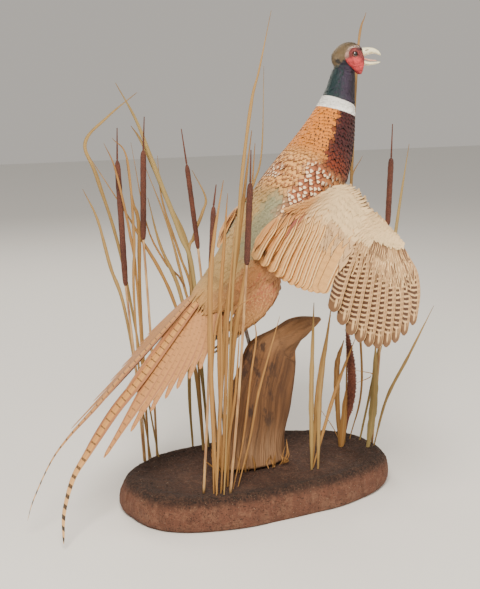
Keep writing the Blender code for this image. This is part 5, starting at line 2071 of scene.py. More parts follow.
    def quills(self, hand: Hand) -> None:
        """Eleven secondaries and ten primaries.

        Args:
            hand: the side.
        """
        for kind, finish, total in (("secondaries", SECONDARY, 11), ("primaries", PRIMARY, 10)):
            blades = Blades(total)
            for i in range(total):
                if kind == "primaries":
                    span = self.first_primary + (i + 0.5) * (2 - self.first_primary) / 10
                    root_span = 1.0 + (i + 0.5) * 0.1
                    wide = self.primary_half - self.primary_thinning * (i / 9) ** 2
                else:
                    span = root_span = (i + 0.4) / 10.4
                    wide = self.secondary_half
                chords = np.linspace(self.quill_root, 1.0, 34)
                t = (chords - chords[0]) / (chords[-1] - chords[0])
                spans = root_span + (span - root_span) * t
                path = self.at(hand, spans, chords, self.skin_lift(spans, chords) + self.quill_lift)
                half = wide * (0.30 + 0.70 * ease(t, 0.0, 0.40))
                if kind == "primaries":
                    half = half * (1 - (0.10 + 0.35 * i / 9) * ease(t, 0.55, 1.0))
                half = half * np.sqrt(np.clip(1 - (np.clip((t - 0.92) / 0.082, 0, 1)) ** 2, 0.01, 1))
                out = self.out(spans) * hand.mirror
                span_way = unit(self.at(hand, spans + 0.02, chords) - self.at(hand, spans, chords))
                facing = unit(out * math.cos(self.quill_tilt) - span_way * math.sin(self.quill_tilt))
                blades.add(path, half, facing, (0, (i * 0.37) % 1 * 0.12, i / 9), -hand.value)
            blades.grow(self.growth, f"{hand.side}_{kind}", finish, "feather_wing", {"Thickness": 0.03},
                        (f"wing_{hand.side}_{kind}",))

    def coverts(self, hand: Hand) -> None:
        """Rows of small feathers over and under the arm.

        Args:
            hand: the side.
        """
        for under in (False, True):
            held = Follicles()
            random = np.random.default_rng(41 + under)
            for r, (chord, length, half, gap, first, last) in enumerate(self.covert_rows):
                if under and chord < 0.26 and r % 2:
                    continue
                spans = np.arange(first + gap * 0.5 * (r % 2), last, gap)
                spans = spans + random.normal(0, gap * 0.07, len(spans))
                chords = np.full(len(spans), chord) + random.normal(0, 0.010, len(spans))
                span_chord = np.linalg.norm(self.trailing(spans) - self.leading(spans), axis=1)
                step = length * random.normal(1, 0.06, len(spans)) / span_chord
                turn = -1 if under else 1
                end = np.minimum(chords + step, 0.95)
                height = 0.0006 + 0.00006 * r

                def on(c: np.ndarray, above: float) -> np.ndarray:
                    """Place over or under the arm."""
                    return self.at(hand, spans, c, self.skin_lift(spans, c, under) + turn * above)

                out = self.out(spans) * hand.mirror * turn
                root, tip = on(chords, self.covert_sunk), on(end, height)
                handle = 2 * on((chords + end) / 2, height * 0.8) - (root + tip) / 2
                bake = np.stack([inset(spans / 2), 0.1 + 0.8 * np.clip(chords + 0.03, 0, 1)], -1)
                marks = self.covert_marks(spans, (chords + end) / 2, r, random)
                held.add(root, handle, tip, out, np.full(len(spans), half), np.full(len(spans), 0.03), bake,
                         marks, 43 + r)
            name = "lining" if under else "coverts"
            held.grow(self.vanes, f"{hand.side}_wing_{name}", SOFT, "feather_wing", {"Thickness": 0.00022})

    @staticmethod
    def covert_marks(spans: np.ndarray, chords: np.ndarray, row: int,
                     random: np.random.Generator) -> dict[str, np.ndarray]:
        """Pale lesser coverts, tan tertials, scalloped middle rows and streaks over the primaries.

        Args:
            spans: spans of the feathers of one row.
            chords: their middles between the leading edge and the quills' tips.
            row: the row's number in the table of rows.
            random: source of the small differences between feathers.

        Returns:
            Ground, mark and rim colours, and the pattern.
        """
        count = len(spans)
        made = paints(count, (0.78, 0.635, 0.440))
        every = np.ones(count)
        lay(made, every, rim=(0.80, 0.655, 0.455), mark=(0.20, 0.10, 0.06), pattern=(0, 0.10, 0.1))
        lay(made, ease(chords, 0.30, 0.48), ground=(0.73, 0.490, 0.25), rim=(0.82, 0.61, 0.35))
        inner = 1 - ease(spans + 0.10 * (chords - 0.4), 0.22, 0.36)
        lay(made, inner, ground=(0.58, 0.310, 0.130), rim=(0.76, 0.48, 0.23), mark=(0.11, 0.050, 0.030),
            pattern=(0.0, 0.14, 0.6))
        lay(made, inner * (random.random(count) < 0.45), pattern=(0.75, 0.14, 0.5))
        plum = inner * ease(spans, 0.15, 0.20) * (row in (2, 3))
        lay(made, plum, ground=(0.36, 0.13, 0.12), rim=(0.45, 0.20, 0.15))
        scallop = ease(spans, 0.62, 0.72) * (1 - ease(spans, 1.08, 1.16)) * (row in (7, 8, 9))
        lay(made, scallop, ground=(0.60, 0.44, 0.29), rim=(0.15, 0.08, 0.05), pattern=(0, 0.05, 0.2))
        if row in (4, 5, 6):
            dark = (random.random(count) < 0.55).astype(float)
            lay(made, every, ground=(0.44, 0.285, 0.155), rim=(0.82, 0.64, 0.42), pattern=(0, 0.20, 0.9))
            lay(made, dark, ground=(0.17, 0.090, 0.048), rim=(0.74, 0.54, 0.33), pattern=(0, 0.24, 0.9))
        tone = random.normal(1, 0.05, count)[:, None]
        for name in PARTS:
            made[name] = np.clip(made[name] * tone, 0, 1)
        return made


@dataclass
class Tail:
    """Two long middle feathers and eight shorter ones a side."""

    root: tuple = (-0.062, 0.0, 0.355)
    back: tuple = (-0.716, 0.0, -0.698)
    under: tuple = (0.698, 0.0, -0.716)
    roof_right: float = math.radians(35)
    roof_left: float = math.radians(11)
    side_root: float = 0.040
    side_half: float = 0.0102
    # how far the first side feather lies under the roof, and each one under the last
    side_drop: float = 0.0004
    side_step: float = 0.00035
    sides: tuple = ((4.5, 0.300), (9.5, 0.316), (12.4, 0.268), (15.2, 0.232), (18.2, 0.208), (21.2, 0.190),
                    (25.0, 0.172), (29.0, 0.156))
    # reach, sideways, drop below the ridge line, half width
    middle_left: tuple = (
        (0.038, 0.004, -0.0015, 0.0064), (0.142, 0.005, -0.0030, 0.0098), (0.211, 0.007, -0.0050, 0.0100),
        (0.266, 0.008, -0.0040, 0.0085), (0.324, 0.006, -0.0065, 0.0050), (0.364, 0.004, -0.0030, 0.0030),
        (0.416, 0.000, 0.0120, 0.0026), (0.443, 0.000, 0.0260, 0.0014))
    middle_right: tuple = (
        (0.038, -0.009, -0.0005, 0.0060), (0.148, -0.012, 0.0062, 0.0098), (0.201, -0.016, 0.0085, 0.0100),
        (0.251, -0.017, 0.0095, 0.0095), (0.293, -0.021, 0.0130, 0.0085), (0.3235, -0.027, 0.0155, 0.0065),
        (0.354, -0.034, 0.0177, 0.0048), (0.381, -0.044, 0.0250, 0.0036), (0.4055, -0.052, 0.0370, 0.0030),
        (0.432, -0.060, 0.0590, 0.0014))

    def at(self, reach: np.ndarray, sideways: np.ndarray, drop: np.ndarray) -> np.ndarray:
        """Points of the tail.

        Args:
            reach: distances behind the rump.
            sideways: distances to the left.
            drop: distances under the ridge line.

        Returns:
            The points.
        """
        reach, sideways, drop = (v[..., None] for v in np.broadcast_arrays(reach, sideways, drop))
        place = np.array(self.root) + reach * np.array(self.back)
        return place + sideways * np.array([0.0, 1.0, 0.0]) + drop * np.array(self.under)

    def slope(self, hand: Hand) -> float:
        """Slope of the roof on one side, in radians."""
        return self.roof_right if hand is Hand.RIGHT else self.roof_left

    def roof(self, hand: Hand, angle: float, reach: np.ndarray, lift: np.ndarray) -> np.ndarray:
        """Points of the side roof that falls away from the ridge.

        Args:
            hand: which side.
            angle: spread from the ridge, in degrees.
            reach: distance from the tail's root.
            lift: height over the roof.

        Returns:
            The points.
        """
        slope = self.slope(hand)
        turn = math.radians(angle)
        out = reach * math.sin(turn)
        side = out * math.cos(slope)
        drop = out * math.sin(slope) - lift
        return self.at(reach * math.cos(turn), side * hand.value, drop)

    def upward(self, hand: Hand, slope: float) -> np.ndarray:
        """The way that a feather's upper side faces on a slope."""
        return -np.array(self.under) * math.cos(slope) + np.array([0, hand.value, 0]) * math.sin(slope)

    def build(self) -> None:
        """Makes the tail's feathers."""
        growth = BladeGrowth("rectrix_growth")
        for hand in Hand:
            table = np.array(self.middle_left if hand is Hand.LEFT else self.middle_right)
            gone = (table[:, 0] - table[0, 0]) / (table[-1, 0] - table[0, 0])
            rows = np.interp(np.linspace(0, 1, 70), gone, np.linspace(0, 1, len(gone)))
            path = curve_through(table[:, :3], rows)
            half = curve_through(np.stack([table[:, 3]] * 3, -1), rows)[:, 0]
            half[:3] *= (0.5, 0.7, 0.9)
            half[-1] *= 0.3
            line = self.at(path[:, 0], path[:, 1], path[:, 2])
            slope = self.slope(hand)
            blades = Blades(1)
            seed = 0.13 if hand is Hand.LEFT else 0.61
            blades.add(line, half, self.upward(hand, slope * 0.6), (0, seed, 0))
            blades.grow(growth, f"tail_long_{hand.side}", TAIL, "feather_tail",
                        {"Thickness": 0.04, "Fold": 0.10}, (f"tail_middle_{hand.side}",))
            total = len(self.sides)
            blades = Blades(total)
            for i, (angle, reach) in enumerate(self.sides):
                t = np.linspace(0, 1, 44)
                away = self.side_root + (reach - self.side_root) * t
                spread = angle * (0.25 + 0.75 * ease(t, 0.0, 0.35))
                lift = np.array(-self.side_drop - self.side_step * i)
                line = np.stack([self.roof(hand, a, np.array(r), lift) for a, r in zip(spread, away)])
                half = self.side_half * (0.35 + 0.65 * ease(t, 0, 0.3)) * (1 - 0.72 * ease(t, 0.52, 1.0))
                half *= np.sqrt(np.clip(1 - np.clip((t - 0.95) / 0.052, 0, 1) ** 2, 0.02, 1))
                blades.add(line, half, self.upward(hand, slope), (0, (0.29 * i) % 1, (i + 1) / total))
            blades.grow(growth, f"tail_short_{hand.side}", TAIL, "feather_tail",
                        {"Thickness": 0.035, "Fold": 0.04}, (f"tail_side_{hand.side}",))


# ---------------------------------------------------------------- base, stump and reeds
@dataclass
class EarthBase:
    """Oval mound of set earth, with a rounded rim and a shallow dished top."""

    half_length: float = 0.2185
    half_width: float = 0.118
    squareness: float = 2.6
    middle_height: float = 0.0434
    crumb_depth: float = 0.0042
    crumbs_per_area: float = 9000.0
    profile: tuple = ((0.940, 0.000), (0.975, 0.004), (0.990, 0.010), (0.990, 0.019), (0.985, 0.028),
                      (0.972, 0.036), (0.950, 0.043), (0.925, 0.0472), (0.895, 0.0495), (0.860, 0.0492),
                      (0.820, 0.0480), (0.770, 0.0460), (0.720, 0.0445), (0.640, 0.0436), (0.540, 0.0432),
                      (0.440, 0.0430), (0.350, 0.0430), (0.250, 0.0431), (0.150, 0.0433), (0.060, 0.0434))

    def reach(self, turn: float) -> float:
        """Distance of the rim in one direction.

        Args:
            turn: the direction, in radians.

        Returns:
            The distance from the middle.
        """
        c, d = abs(math.cos(turn)), abs(math.sin(turn))
        n = self.squareness
        return ((c / self.half_length) ** n + (d / self.half_width) ** n) ** (-1 / n)

    def build(self) -> None:
        """Makes the mound, then crumbles it."""
        rings = []
        turns = np.linspace(0, 2 * math.pi, 420, endpoint=False)
        rim = np.array([self.reach(t) for t in turns])
        fine = curve_through([(a, h, 0) for a, h in self.profile], np.linspace(0, 1, 96))
        for share, height, _ in fine:
            lobes = 0.008 * np.sin(5 * turns + 60 * height) + 0.005 * np.sin(11 * turns)
            out = rim * share * (1 + lobes * float(ease(share, 0.80, 0.93)) * (height > 0.001))
            heights = np.full(len(turns), height)
            rings.append(np.stack([np.cos(turns) * out, np.sin(turns) * out, heights], -1))
        mound = link("mound", loft("mound", rings, None, (0, 0, self.middle_height)))
        growth = Growth("crumble", {"Depth": self.crumb_depth, "Density": self.crumbs_per_area, "Seed": 4})
        g = growth.graph
        place = g.node("GeometryNodeInputPosition")
        way = g.node("GeometryNodeInputNormal")
        _, _, z = g.split(place)
        rough = g.noise(place, 38, 5, 0.62) - 0.5
        streak = g.noise(g.vector("MULTIPLY", place, (1.0, 1.0, 0.15)), 150, 3) - 0.5
        side = 1 - g.ease(z, 0.036, 0.046)
        held = g.ease(z, 0.0015, 0.006)
        lift = (rough * 1.6 + streak * side * 0.3 - 0.25) * growth.given("Depth") * held
        moved = g.node("GeometryNodeSetPosition", None, {"Geometry": growth.given("Geometry"),
                                                         "Offset": g.scaled(way, lift)})
        growth.close(growth.scatter(moved, 0.006, 0.0011, (0.3, 0.3, 0.2), (1.6, 1.6, 0.9)))
        ride(growth.grow(mound, "earth_base", Earth("earth", 0.95)), "earth", "base")


@dataclass
class Stump:
    """Weathered stump whose top hooks over to the bird's breast."""

    rings: tuple = (
        ((-0.008, 0.006, 0.0470), 0.057, 0.029, 0), ((-0.006, 0.006, 0.0800), 0.052, 0.026, 0),
        ((0.000, 0.004, 0.1200), 0.054, 0.025, 0), ((0.004, 0.003, 0.1600), 0.052, 0.024, 2),
        ((0.015, 0.002, 0.2000), 0.044, 0.022, 4), ((0.024, 0.001, 0.2260), 0.037, 0.020, 16),
        ((0.047, 0.000, 0.2380), 0.0235, 0.018, 36), ((0.0635, 0.000, 0.2470), 0.0185, 0.017, 60),
        ((0.0760, -0.001, 0.2520), 0.0150, 0.015, 73), ((0.0910, -0.002, 0.2560), 0.0090, 0.012, 86),
        ((0.1030, -0.003, 0.2600), 0.0030, 0.006, 95),
    )
    sides: int = 96
    rows: int = 110
    groove_depth: float = 0.032
    pulled_in: float = 0.035

    def build(self) -> None:
        """Makes the stump with grooves along its grain."""
        table = np.array([[*m, a, b, lean] for m, a, b, lean in self.rings])
        steps = np.linspace(0, len(table) - 1, self.rows)
        turns = np.linspace(0, 2 * math.pi, self.sides, endpoint=False)
        shares = steps / (len(table) - 1)
        smooth = np.hstack([curve_through(table[:, :3], shares), curve_through(table[:, 3:6], shares)])
        rings = []
        for k, row in zip(steps, smooth):
            lean = math.radians(row[5])
            along = np.array([math.cos(lean), 0, -math.sin(lean)])
            gnarl = 1 + 0.07 * np.sin(3 * turns + 0.9 * k) + 0.05 * np.sin(5 * turns - 0.5 * k)
            fade = min(1.0, k / 0.6, (len(table) - 1 - k) / 0.6)
            cord = np.sin(9 * turns + 0.30 * k + np.sin(k * 0.9)) + 0.7 * np.sin(17 * turns - 0.22 * k)
            folds = np.abs(np.sin(14 * turns + 0.4 * k + 2 * np.sin(k * 0.7)))
            cord += 0.6 * folds + 0.4 * np.sin(37 * turns + k)
            size = (gnarl - 1) * fade + 1 + self.groove_depth * cord * max(fade, 0.35) - self.pulled_in
            rings.append(row[:3] + along * (row[3] * size * np.cos(turns))[:, None]
                         + np.array([0, 1.0, 0]) * (row[4] * size * np.sin(turns))[:, None])
        mesh = loft("stump", rings)
        self.chart(mesh)
        ride(link("stump", mesh, Driftwood("driftwood", 0.8)), "driftwood", "driftwood")

    def chart(self, mesh: bpy.types.Mesh) -> None:
        """Map round the stump by along it.

        Args:
            mesh: the stump, which gets the map.
        """
        middles = np.array([m for m, *_ in self.rings])
        layer = mesh.uv_layers.new(name="vane")
        places = np.array([v.co for v in mesh.vertices])
        dense = curve_through(middles, np.linspace(0, 1, 80))
        near = np.argmin(np.linalg.norm(places[:, None] - dense[None], axis=2), axis=1)
        gap = places - dense[near]
        turn = np.arctan2(gap[:, 1], gap[:, 0]) / (2 * math.pi) + 0.5
        length = near / 79
        for poly in mesh.polygons:
            around = turn[list(poly.vertices)]
            wrap = around.max() - around.min() > 0.5
            for loop, vertex, value in zip(poly.loop_indices, poly.vertices, around):
                layer.data[loop].uv = (value + (1 if wrap and value < 0.5 else 0), length[vertex])


@dataclass
class Reeds:
    """Cattails, dry leaves and a dock spike, stuck in the earth."""

    leaf_facing: tuple = (-0.46, -0.87, 0.10)
    husks_from: float = 0.100
    cattails: tuple = (
        ((-0.150, 0.090), (-0.166, 0.110, 0.315), (-0.173, 0.114, 0.503), (-0.172, 0.114, 0.549), 0.0044),
        ((-0.126, 0.096), (-0.133, 0.118, 0.381), (-0.131, 0.116, 0.516), (-0.129, 0.115, 0.564), 0.0044),
        ((-0.026, 0.086), (-0.040, 0.122, 0.359), (-0.055, 0.129, 0.491), (-0.061, 0.134, 0.544), 0.0038),
        ((-0.124, -0.064), (-0.119, -0.077, 0.331), (-0.114, -0.080, 0.454), (-0.110, -0.080, 0.482), 0.0036),
        ((-0.092, -0.084), (-0.072, -0.095, 0.372), (-0.068, -0.097, 0.484), (-0.067, -0.097, 0.527), 0.0042),
        ((0.203, -0.010), (0.228, 0.000, 0.394), (0.234, 0.004, 0.499), (0.236, 0.006, 0.550), 0.0044),
    )
    # half width, age, green, foot and the points that it bends through
    leaves: tuple = (
        ("leaf_rear_1", 0.0034, 0.30, 0.55, (-0.140, 0.086), (-0.163, 0.120, 0.270), (-0.179, 0.138, 0.342),
         (-0.192, 0.152, 0.412), (-0.210, 0.162, 0.458)),
        ("leaf_rear_2", 0.0034, 0.20, 0.60, (-0.128, 0.084), (-0.154, 0.148, 0.338), (-0.194, 0.142, 0.474),
         (-0.209, 0.149, 0.526), (-0.180, 0.131, 0.564), (-0.142, 0.109, 0.599)),
        ("leaf_mid_1", 0.0046, 0.12, 0.80, (-0.038, 0.095), (-0.046, 0.125, 0.309), (-0.059, 0.145, 0.381),
         (-0.083, 0.175, 0.471), (-0.108, 0.195, 0.553), (-0.136, 0.209, 0.612)),
        ("leaf_mid_2", 0.0032, 0.30, 0.50, (-0.033, 0.103), (-0.045, 0.143, 0.325), (-0.033, 0.152, 0.375),
         (-0.014, 0.160, 0.411), (-0.007, 0.163, 0.435), (-0.027, 0.170, 0.478)),
        ("leaf_mid_3", 0.0038, 0.25, 0.60, (-0.050, 0.090), (-0.051, 0.112, 0.162), (-0.068, 0.130, 0.292),
         (-0.094, 0.145, 0.368), (-0.111, 0.150, 0.441)),
        ("leaf_mid_4", 0.0044, 0.10, 0.70, (-0.060, 0.106), (-0.055, 0.128, 0.142), (-0.035, 0.162, 0.333),
         (-0.063, 0.185, 0.431), (-0.098, 0.198, 0.519), (-0.115, 0.202, 0.547)),
        ("leaf_tall_back", 0.0026, 0.10, 0.50, (-0.010, 0.096), (-0.010, 0.116, 0.270),
         (0.003, 0.116, 0.345), (0.022, 0.113, 0.400), (0.050, 0.108, 0.460), (0.0615, 0.104, 0.510),
         (0.060, 0.096, 0.637)),
        ("leaf_tall_front", 0.0028, 0.05, 0.40, (-0.104, -0.088), (-0.095, -0.097, 0.328),
         (-0.087, -0.101, 0.449), (-0.082, -0.104, 0.512), (-0.073, -0.110, 0.592), (-0.064, -0.113, 0.630),
         (-0.049, -0.117, 0.704)),
        ("leaf_front_1", 0.0046, 0.25, 0.10, (-0.100, -0.056), (-0.098, -0.081, 0.280),
         (-0.079, -0.086, 0.413), (-0.061, -0.088, 0.552)),
        ("leaf_front_2", 0.0044, 0.35, 0.10, (-0.084, -0.060), (-0.084, -0.078, 0.255),
         (-0.067, -0.084, 0.364), (-0.056, -0.088, 0.535)),
        ("leaf_front_3", 0.0044, 0.20, 0.10, (-0.110, -0.078), (-0.120, -0.084, 0.187),
         (-0.125, -0.090, 0.334), (-0.121, -0.094, 0.411), (-0.108, -0.097, 0.489)),
        ("leaf_front_4", 0.0032, 0.50, 0.00, (-0.096, -0.066), (-0.108, -0.082, 0.268),
         (-0.101, -0.084, 0.394), (-0.094, -0.082, 0.470)),
        ("leaf_head", 0.0030, 0.30, 0.30, (0.167, 0.014), (0.185, 0.039, 0.456), (0.199, 0.049, 0.665),
         (0.211, 0.048, 0.717)),
        ("leaf_right_1", 0.0042, 0.10, 0.75, (0.188, 0.004), (0.231, 0.003, 0.243), (0.251, 0.011, 0.373),
         (0.278, 0.018, 0.518)),
        ("leaf_right_2", 0.0030, 0.20, 0.60, (0.196, -0.024), (0.213, -0.032, 0.125),
         (0.240, -0.050, 0.197), (0.267, -0.072, 0.277)),
        ("leaf_right_3", 0.0075, 0.10, 0.80, (0.182, -0.028), (0.196, -0.021, 0.119),
         (0.204, -0.011, 0.213)),
        ("leaf_stump_1", 0.0046, 0.20, 0.55, (0.058, -0.060), (0.057, -0.058, 0.170),
         (0.060, -0.056, 0.300)),
        ("leaf_stump_2", 0.0044, 0.30, 0.45, (0.068, -0.062), (0.070, -0.062, 0.168),
         (0.083, -0.068, 0.300)),
        ("leaf_stump_3", 0.0034, 0.20, 0.10, (0.064, -0.054), (0.093, -0.066, 0.162),
         (0.119, -0.077, 0.243)),
    )

    # thin leaves and twigs that only the finish adds: half width, age, green and the points of the path
    litter: tuple = (
        (0.0032, 0.35, 0.20, (-0.048, 0.092), (-0.056, 0.100, 0.171), (-0.085, 0.112, 0.279),
         (-0.107, 0.118, 0.334), (-0.133, 0.124, 0.381), (-0.154, 0.128, 0.420), (-0.209, 0.130, 0.507)),
        (0.0034, 0.30, 0.25, (-0.141, 0.092), (-0.139, 0.120, 0.290), (-0.137, 0.125, 0.404),
         (-0.146, 0.126, 0.442), (-0.154, 0.128, 0.506)),
        (0.0024, 0.45, 0.10, (-0.146, 0.082), (-0.150, 0.104, 0.310), (-0.158, 0.104, 0.386),
         (-0.181, 0.100, 0.488), (-0.199, 0.098, 0.529)),
        (0.0026, 0.40, 0.20, (-0.150, 0.084), (-0.157, 0.100, 0.296), (-0.156, 0.098, 0.387),
         (-0.164, 0.098, 0.504), (-0.187, 0.096, 0.536)),
        (0.0028, 0.20, 0.40, (-0.044, 0.098), (-0.044, 0.128, 0.231), (-0.055, 0.140, 0.294),
         (-0.074, 0.160, 0.395), (-0.105, 0.172, 0.486)),
        (0.0025, 0.30, 0.30, (-0.030, 0.108), (-0.037, 0.150, 0.274), (-0.053, 0.162, 0.346),
         (-0.076, 0.176, 0.433), (-0.081, 0.180, 0.502)),
        (0.0020, 0.90, 0.10, (-0.046, 0.100), (-0.051, 0.138, 0.278), (-0.088, 0.142, 0.341),
         (-0.115, 0.146, 0.400), (-0.135, 0.154, 0.525)),
        (0.0028, 0.30, 0.05, (-0.113, -0.074), (-0.117, -0.080, 0.142), (-0.120, -0.084, 0.230),
         (-0.115, -0.088, 0.294), (-0.101, -0.090, 0.337)),
        (0.0018, 0.50, 0.00, (-0.080, -0.070), (-0.066, -0.074, 0.117), (-0.057, -0.080, 0.213),
         (-0.051, -0.084, 0.271), (-0.060, -0.086, 0.304)),
        (0.0022, 0.35, 0.05, (-0.070, -0.066), (-0.053, -0.070, 0.114), (-0.042, -0.074, 0.180),
         (-0.025, -0.078, 0.245), (-0.011, -0.080, 0.293)),
        (0.0028, 0.25, 0.05, (-0.104, -0.078), (-0.101, -0.082, 0.126), (-0.101, -0.090, 0.229),
         (-0.099, -0.094, 0.328), (-0.090, -0.098, 0.442)),
        (0.0025, 0.40, 0.05, (-0.096, -0.072), (-0.089, -0.074, 0.121), (-0.080, -0.078, 0.194),
         (-0.075, -0.082, 0.298)),
        (0.0027, 0.30, 0.10, (-0.116, -0.088), (-0.115, -0.094, 0.132), (-0.112, -0.098, 0.218),
         (-0.115, -0.102, 0.361)),
        (0.0034, 0.35, 0.20, (0.062, -0.054), (0.068, -0.050, 0.088), (0.077, -0.046, 0.183),
         (0.100, -0.040, 0.274)),
        (0.0026, 0.30, 0.20, (0.178, 0.018), (0.208, 0.030, 0.139), (0.201, 0.050, 0.335),
         (0.193, 0.052, 0.454), (0.215, 0.054, 0.499)),
        (0.0062, 0.10, 0.05, (0.150, 0.000), (0.152, 0.000, 0.056), (0.159, 0.002, 0.121),
         (0.169, 0.004, 0.165)),
        (0.0056, 0.95, 0.10, (0.150, 0.004), (0.142, 0.004, 0.169), (0.155, 0.006, 0.218)),
        (0.0009, 0.95, 0.00, (-0.101, -0.104, 0.310), (-0.087, -0.104, 0.321), (-0.068, -0.103, 0.328),
         (-0.029, -0.100, 0.334)),
        (0.0009, 0.00, 0.00, (0.190, -0.020, 0.163), (0.185, -0.022, 0.160), (0.152, -0.030, 0.157)),
        (0.0009, 0.00, 0.00, (0.191, -0.021, 0.165), (0.189, -0.022, 0.167), (0.150, -0.026, 0.179)),
        (0.0008, 0.20, 0.00, (0.097, -0.020, 0.122), (0.128, -0.012, 0.082), (0.148, -0.006, 0.045)),
    )

    def build(self) -> None:
        """Makes every leaf and spike."""
        self.random = np.random.default_rng(5)
        self.sheaf("dry_leaves", [row[1:] for row in self.leaves], tuple(row[0] for row in self.leaves))
        self.sheaf("small_leaves", self.litter + tuple(self.fibres()), ())
        self.spikes()
        self.dock()

    def fibres(self) -> Iterator[tuple]:
        """Frayed strips of wood fibre that stand round the foot of the stump.

        Yields:
            Half width, age, green, foot, bend and tip of each fibre.
        """
        uniform = self.random.uniform
        for _ in range(38):
            turn = uniform(2.2, 5.6)
            rise = uniform(0.006, 0.020) * uniform(1, 2.4)
            foot = np.array((-0.008 + 0.062 * math.cos(turn), 0.006 + 0.034 * math.sin(turn), 0.0450))
            out = np.array((math.cos(turn), math.sin(turn), 0.0)) * uniform(-0.006, 0.010)
            bend = foot + out + (0, 0, rise * 0.5)
            tip = foot + out * uniform(0.2, 1.6) + (uniform(-0.006, 0.006), 0, rise)
            yield (uniform(0.0008, 0.0019), uniform(0, 0.9), 0.0, foot, bend, tip)

    def sheaf(self, name: str, rows: Sequence[tuple], replaced: tuple[str, ...]) -> None:
        """Grows one piece from many blades.

        Args:
            name: the piece's name.
            rows: half width, age, green and the points of each blade; a foot without a height stands
                in the earth.
            replaced: the solids that the blades stand for.
        """
        blades = Blades(len(rows))
        for half, age, green, foot, *bends in rows:
            t = np.linspace(0, 1, 56 if half > 0.002 else 18)
            path = curve_through(((*foot, EARTH_TOP)[:3], *bends), t)
            shape = half * (0.32 + 0.78 * np.sin(math.pi * t * 0.72)) * (1 - 0.90 * t ** 2.2)
            shape = shape * (1 + 0.06 * np.sin(t * 31 + age * 9) + 0.05 * np.sin(t * 53))
            turn = 0.25 * np.sin(t * 5 + self.random.uniform(0, 6)) * ease(t, 0.1, 0.5)
            face = unit(np.array(self.leaf_facing))
            side = unit(np.cross(face, UP))
            facing = face * np.cos(turn)[:, None] + side * np.sin(turn)[:, None]
            blades.add(path, shape, facing, (0, age, green))
        blades.grow(BladeGrowth(f"{name}_growth"), name, DryLeaf("dry_leaf", 0.65), "dry_leaf",
                    {"Thickness": 0.07, "Fold": 0.26}, replaced)

    def spikes(self) -> None:
        """Cattail stalks and their velvety spikes."""
        velvet = Streaked("cattail_velvet", 0.95, (0.15, 0.050, 0.030), (0.050, 0.017, 0.013),
                          900, 0.8, 0.0012)
        stem = Streaked("stalk", 0.6, (0.58, 0.36, 0.15), (0.27, 0.13, 0.06), 260, 0.10, 0.0005)
        for i, (foot, low, top, tip, radius) in enumerate(self.cattails, 1):
            foot, low, top, tip = (np.array(point) for point in ((*foot, EARTH_TOP), low, top, tip))
            axis = unit(top - low)
            middle = (foot + low) / 2 + np.array([0.002, 0, 0])
            path = curve_through((foot, middle, low + axis * 0.004), np.linspace(0, 1, 30))
            stalk = tube(f"cattail_{i}_stem", path, np.full(30, 0.0019), 12)
            ride(link(f"cattail_{i}_stem", stalk, stem), "stalk", f"cattail_{i}_stalk")
            length = np.linalg.norm(top - low)
            t = np.linspace(0, 1, 40)
            girth = radius * np.sqrt(np.clip(1 - np.abs(2 * t - 1) ** 14, 0.05, 1))
            girth *= 1 + 0.03 * np.sin(t * 40 + i) + 0.02 * np.sin(t * 97)
            body = np.concatenate([low + axis * (length * t)[:, None],
                                   top + (tip - top) * np.linspace(0.03, 1, 8)[:, None]])
            girth = np.concatenate([girth, np.linspace(0.0014, 0.0007, 8)])
            spike = tube(f"cattail_{i}_velvet", body, girth, 20)
            ride(link(f"cattail_{i}_velvet", spike, velvet), "cattail_spike", f"cattail_{i}_spike")

    def dock(self) -> None:
        """Seed spike of a dock: a stem crowded with small husks."""
        foot, top = np.array((0.155, 0.005, EARTH_TOP)), np.array((0.158, 0.004, 0.236))
        across = unit(np.cross(np.array(self.leaf_facing), UP))
        t = np.linspace(0, 1, 34)
        path = foot + (top - foot) * t[:, None] - across * (0.012 * np.sin(math.pi * t))[:, None]
        table = np.array(((0.0016, 0.0), (0.0016, 0.22), (0.0060, 0.32), (0.0092, 0.50), (0.0080, 0.70),
                          (0.0050, 0.90), (0.0012, 1.0)))
        girth = np.interp(t, table[:, 1], table[:, 0])
        core = link("dock_core", tube("dock_core", path, girth * np.where(girth > 0.002, 0.72, 1.0), 20))
        growth = Growth("husks", {"Density": 190000.0, "Seed": 8})
        growth.close(growth.scatter(growth.given("Geometry"), self.husks_from, 0.0013,
                                    (0.5, 0.3, 0.7), (1.1, 0.6, 1.7)))
        husk = Streaked("dock_husk", 0.9, (0.25, 0.085, 0.050), (0.07, 0.022, 0.018), 500, 1.0, 0.0009)
        ride(growth.grow(core, "dock_seeds", husk), "cattail_spike", "dock_spike")


def tube(name: str, path: np.ndarray, radius: np.ndarray, sides: int) -> bpy.types.Mesh:
    """Closed round skin along a path.

    Args:
        name: the mesh's name.
        path: the middle line.
        radius: radius at each point.
        sides: faces round it.

    Returns:
        The mesh.
    """
    ahead = unit(np.gradient(path, axis=0))
    first = unit(np.cross(ahead, np.array([0.13, 0.97, 0.21])))
    second = np.cross(ahead, first)
    turns = np.linspace(0, 2 * math.pi, sides, endpoint=False)
    rings = [p + (a * np.cos(turns)[:, None] + b * np.sin(turns)[:, None]) * r
             for p, a, b, r in zip(path, first, second, radius)]
    return loft(name, rings, path[0] - ahead[0] * radius[0] * 0.3, path[-1] + ahead[-1] * radius[-1] * 0.3)


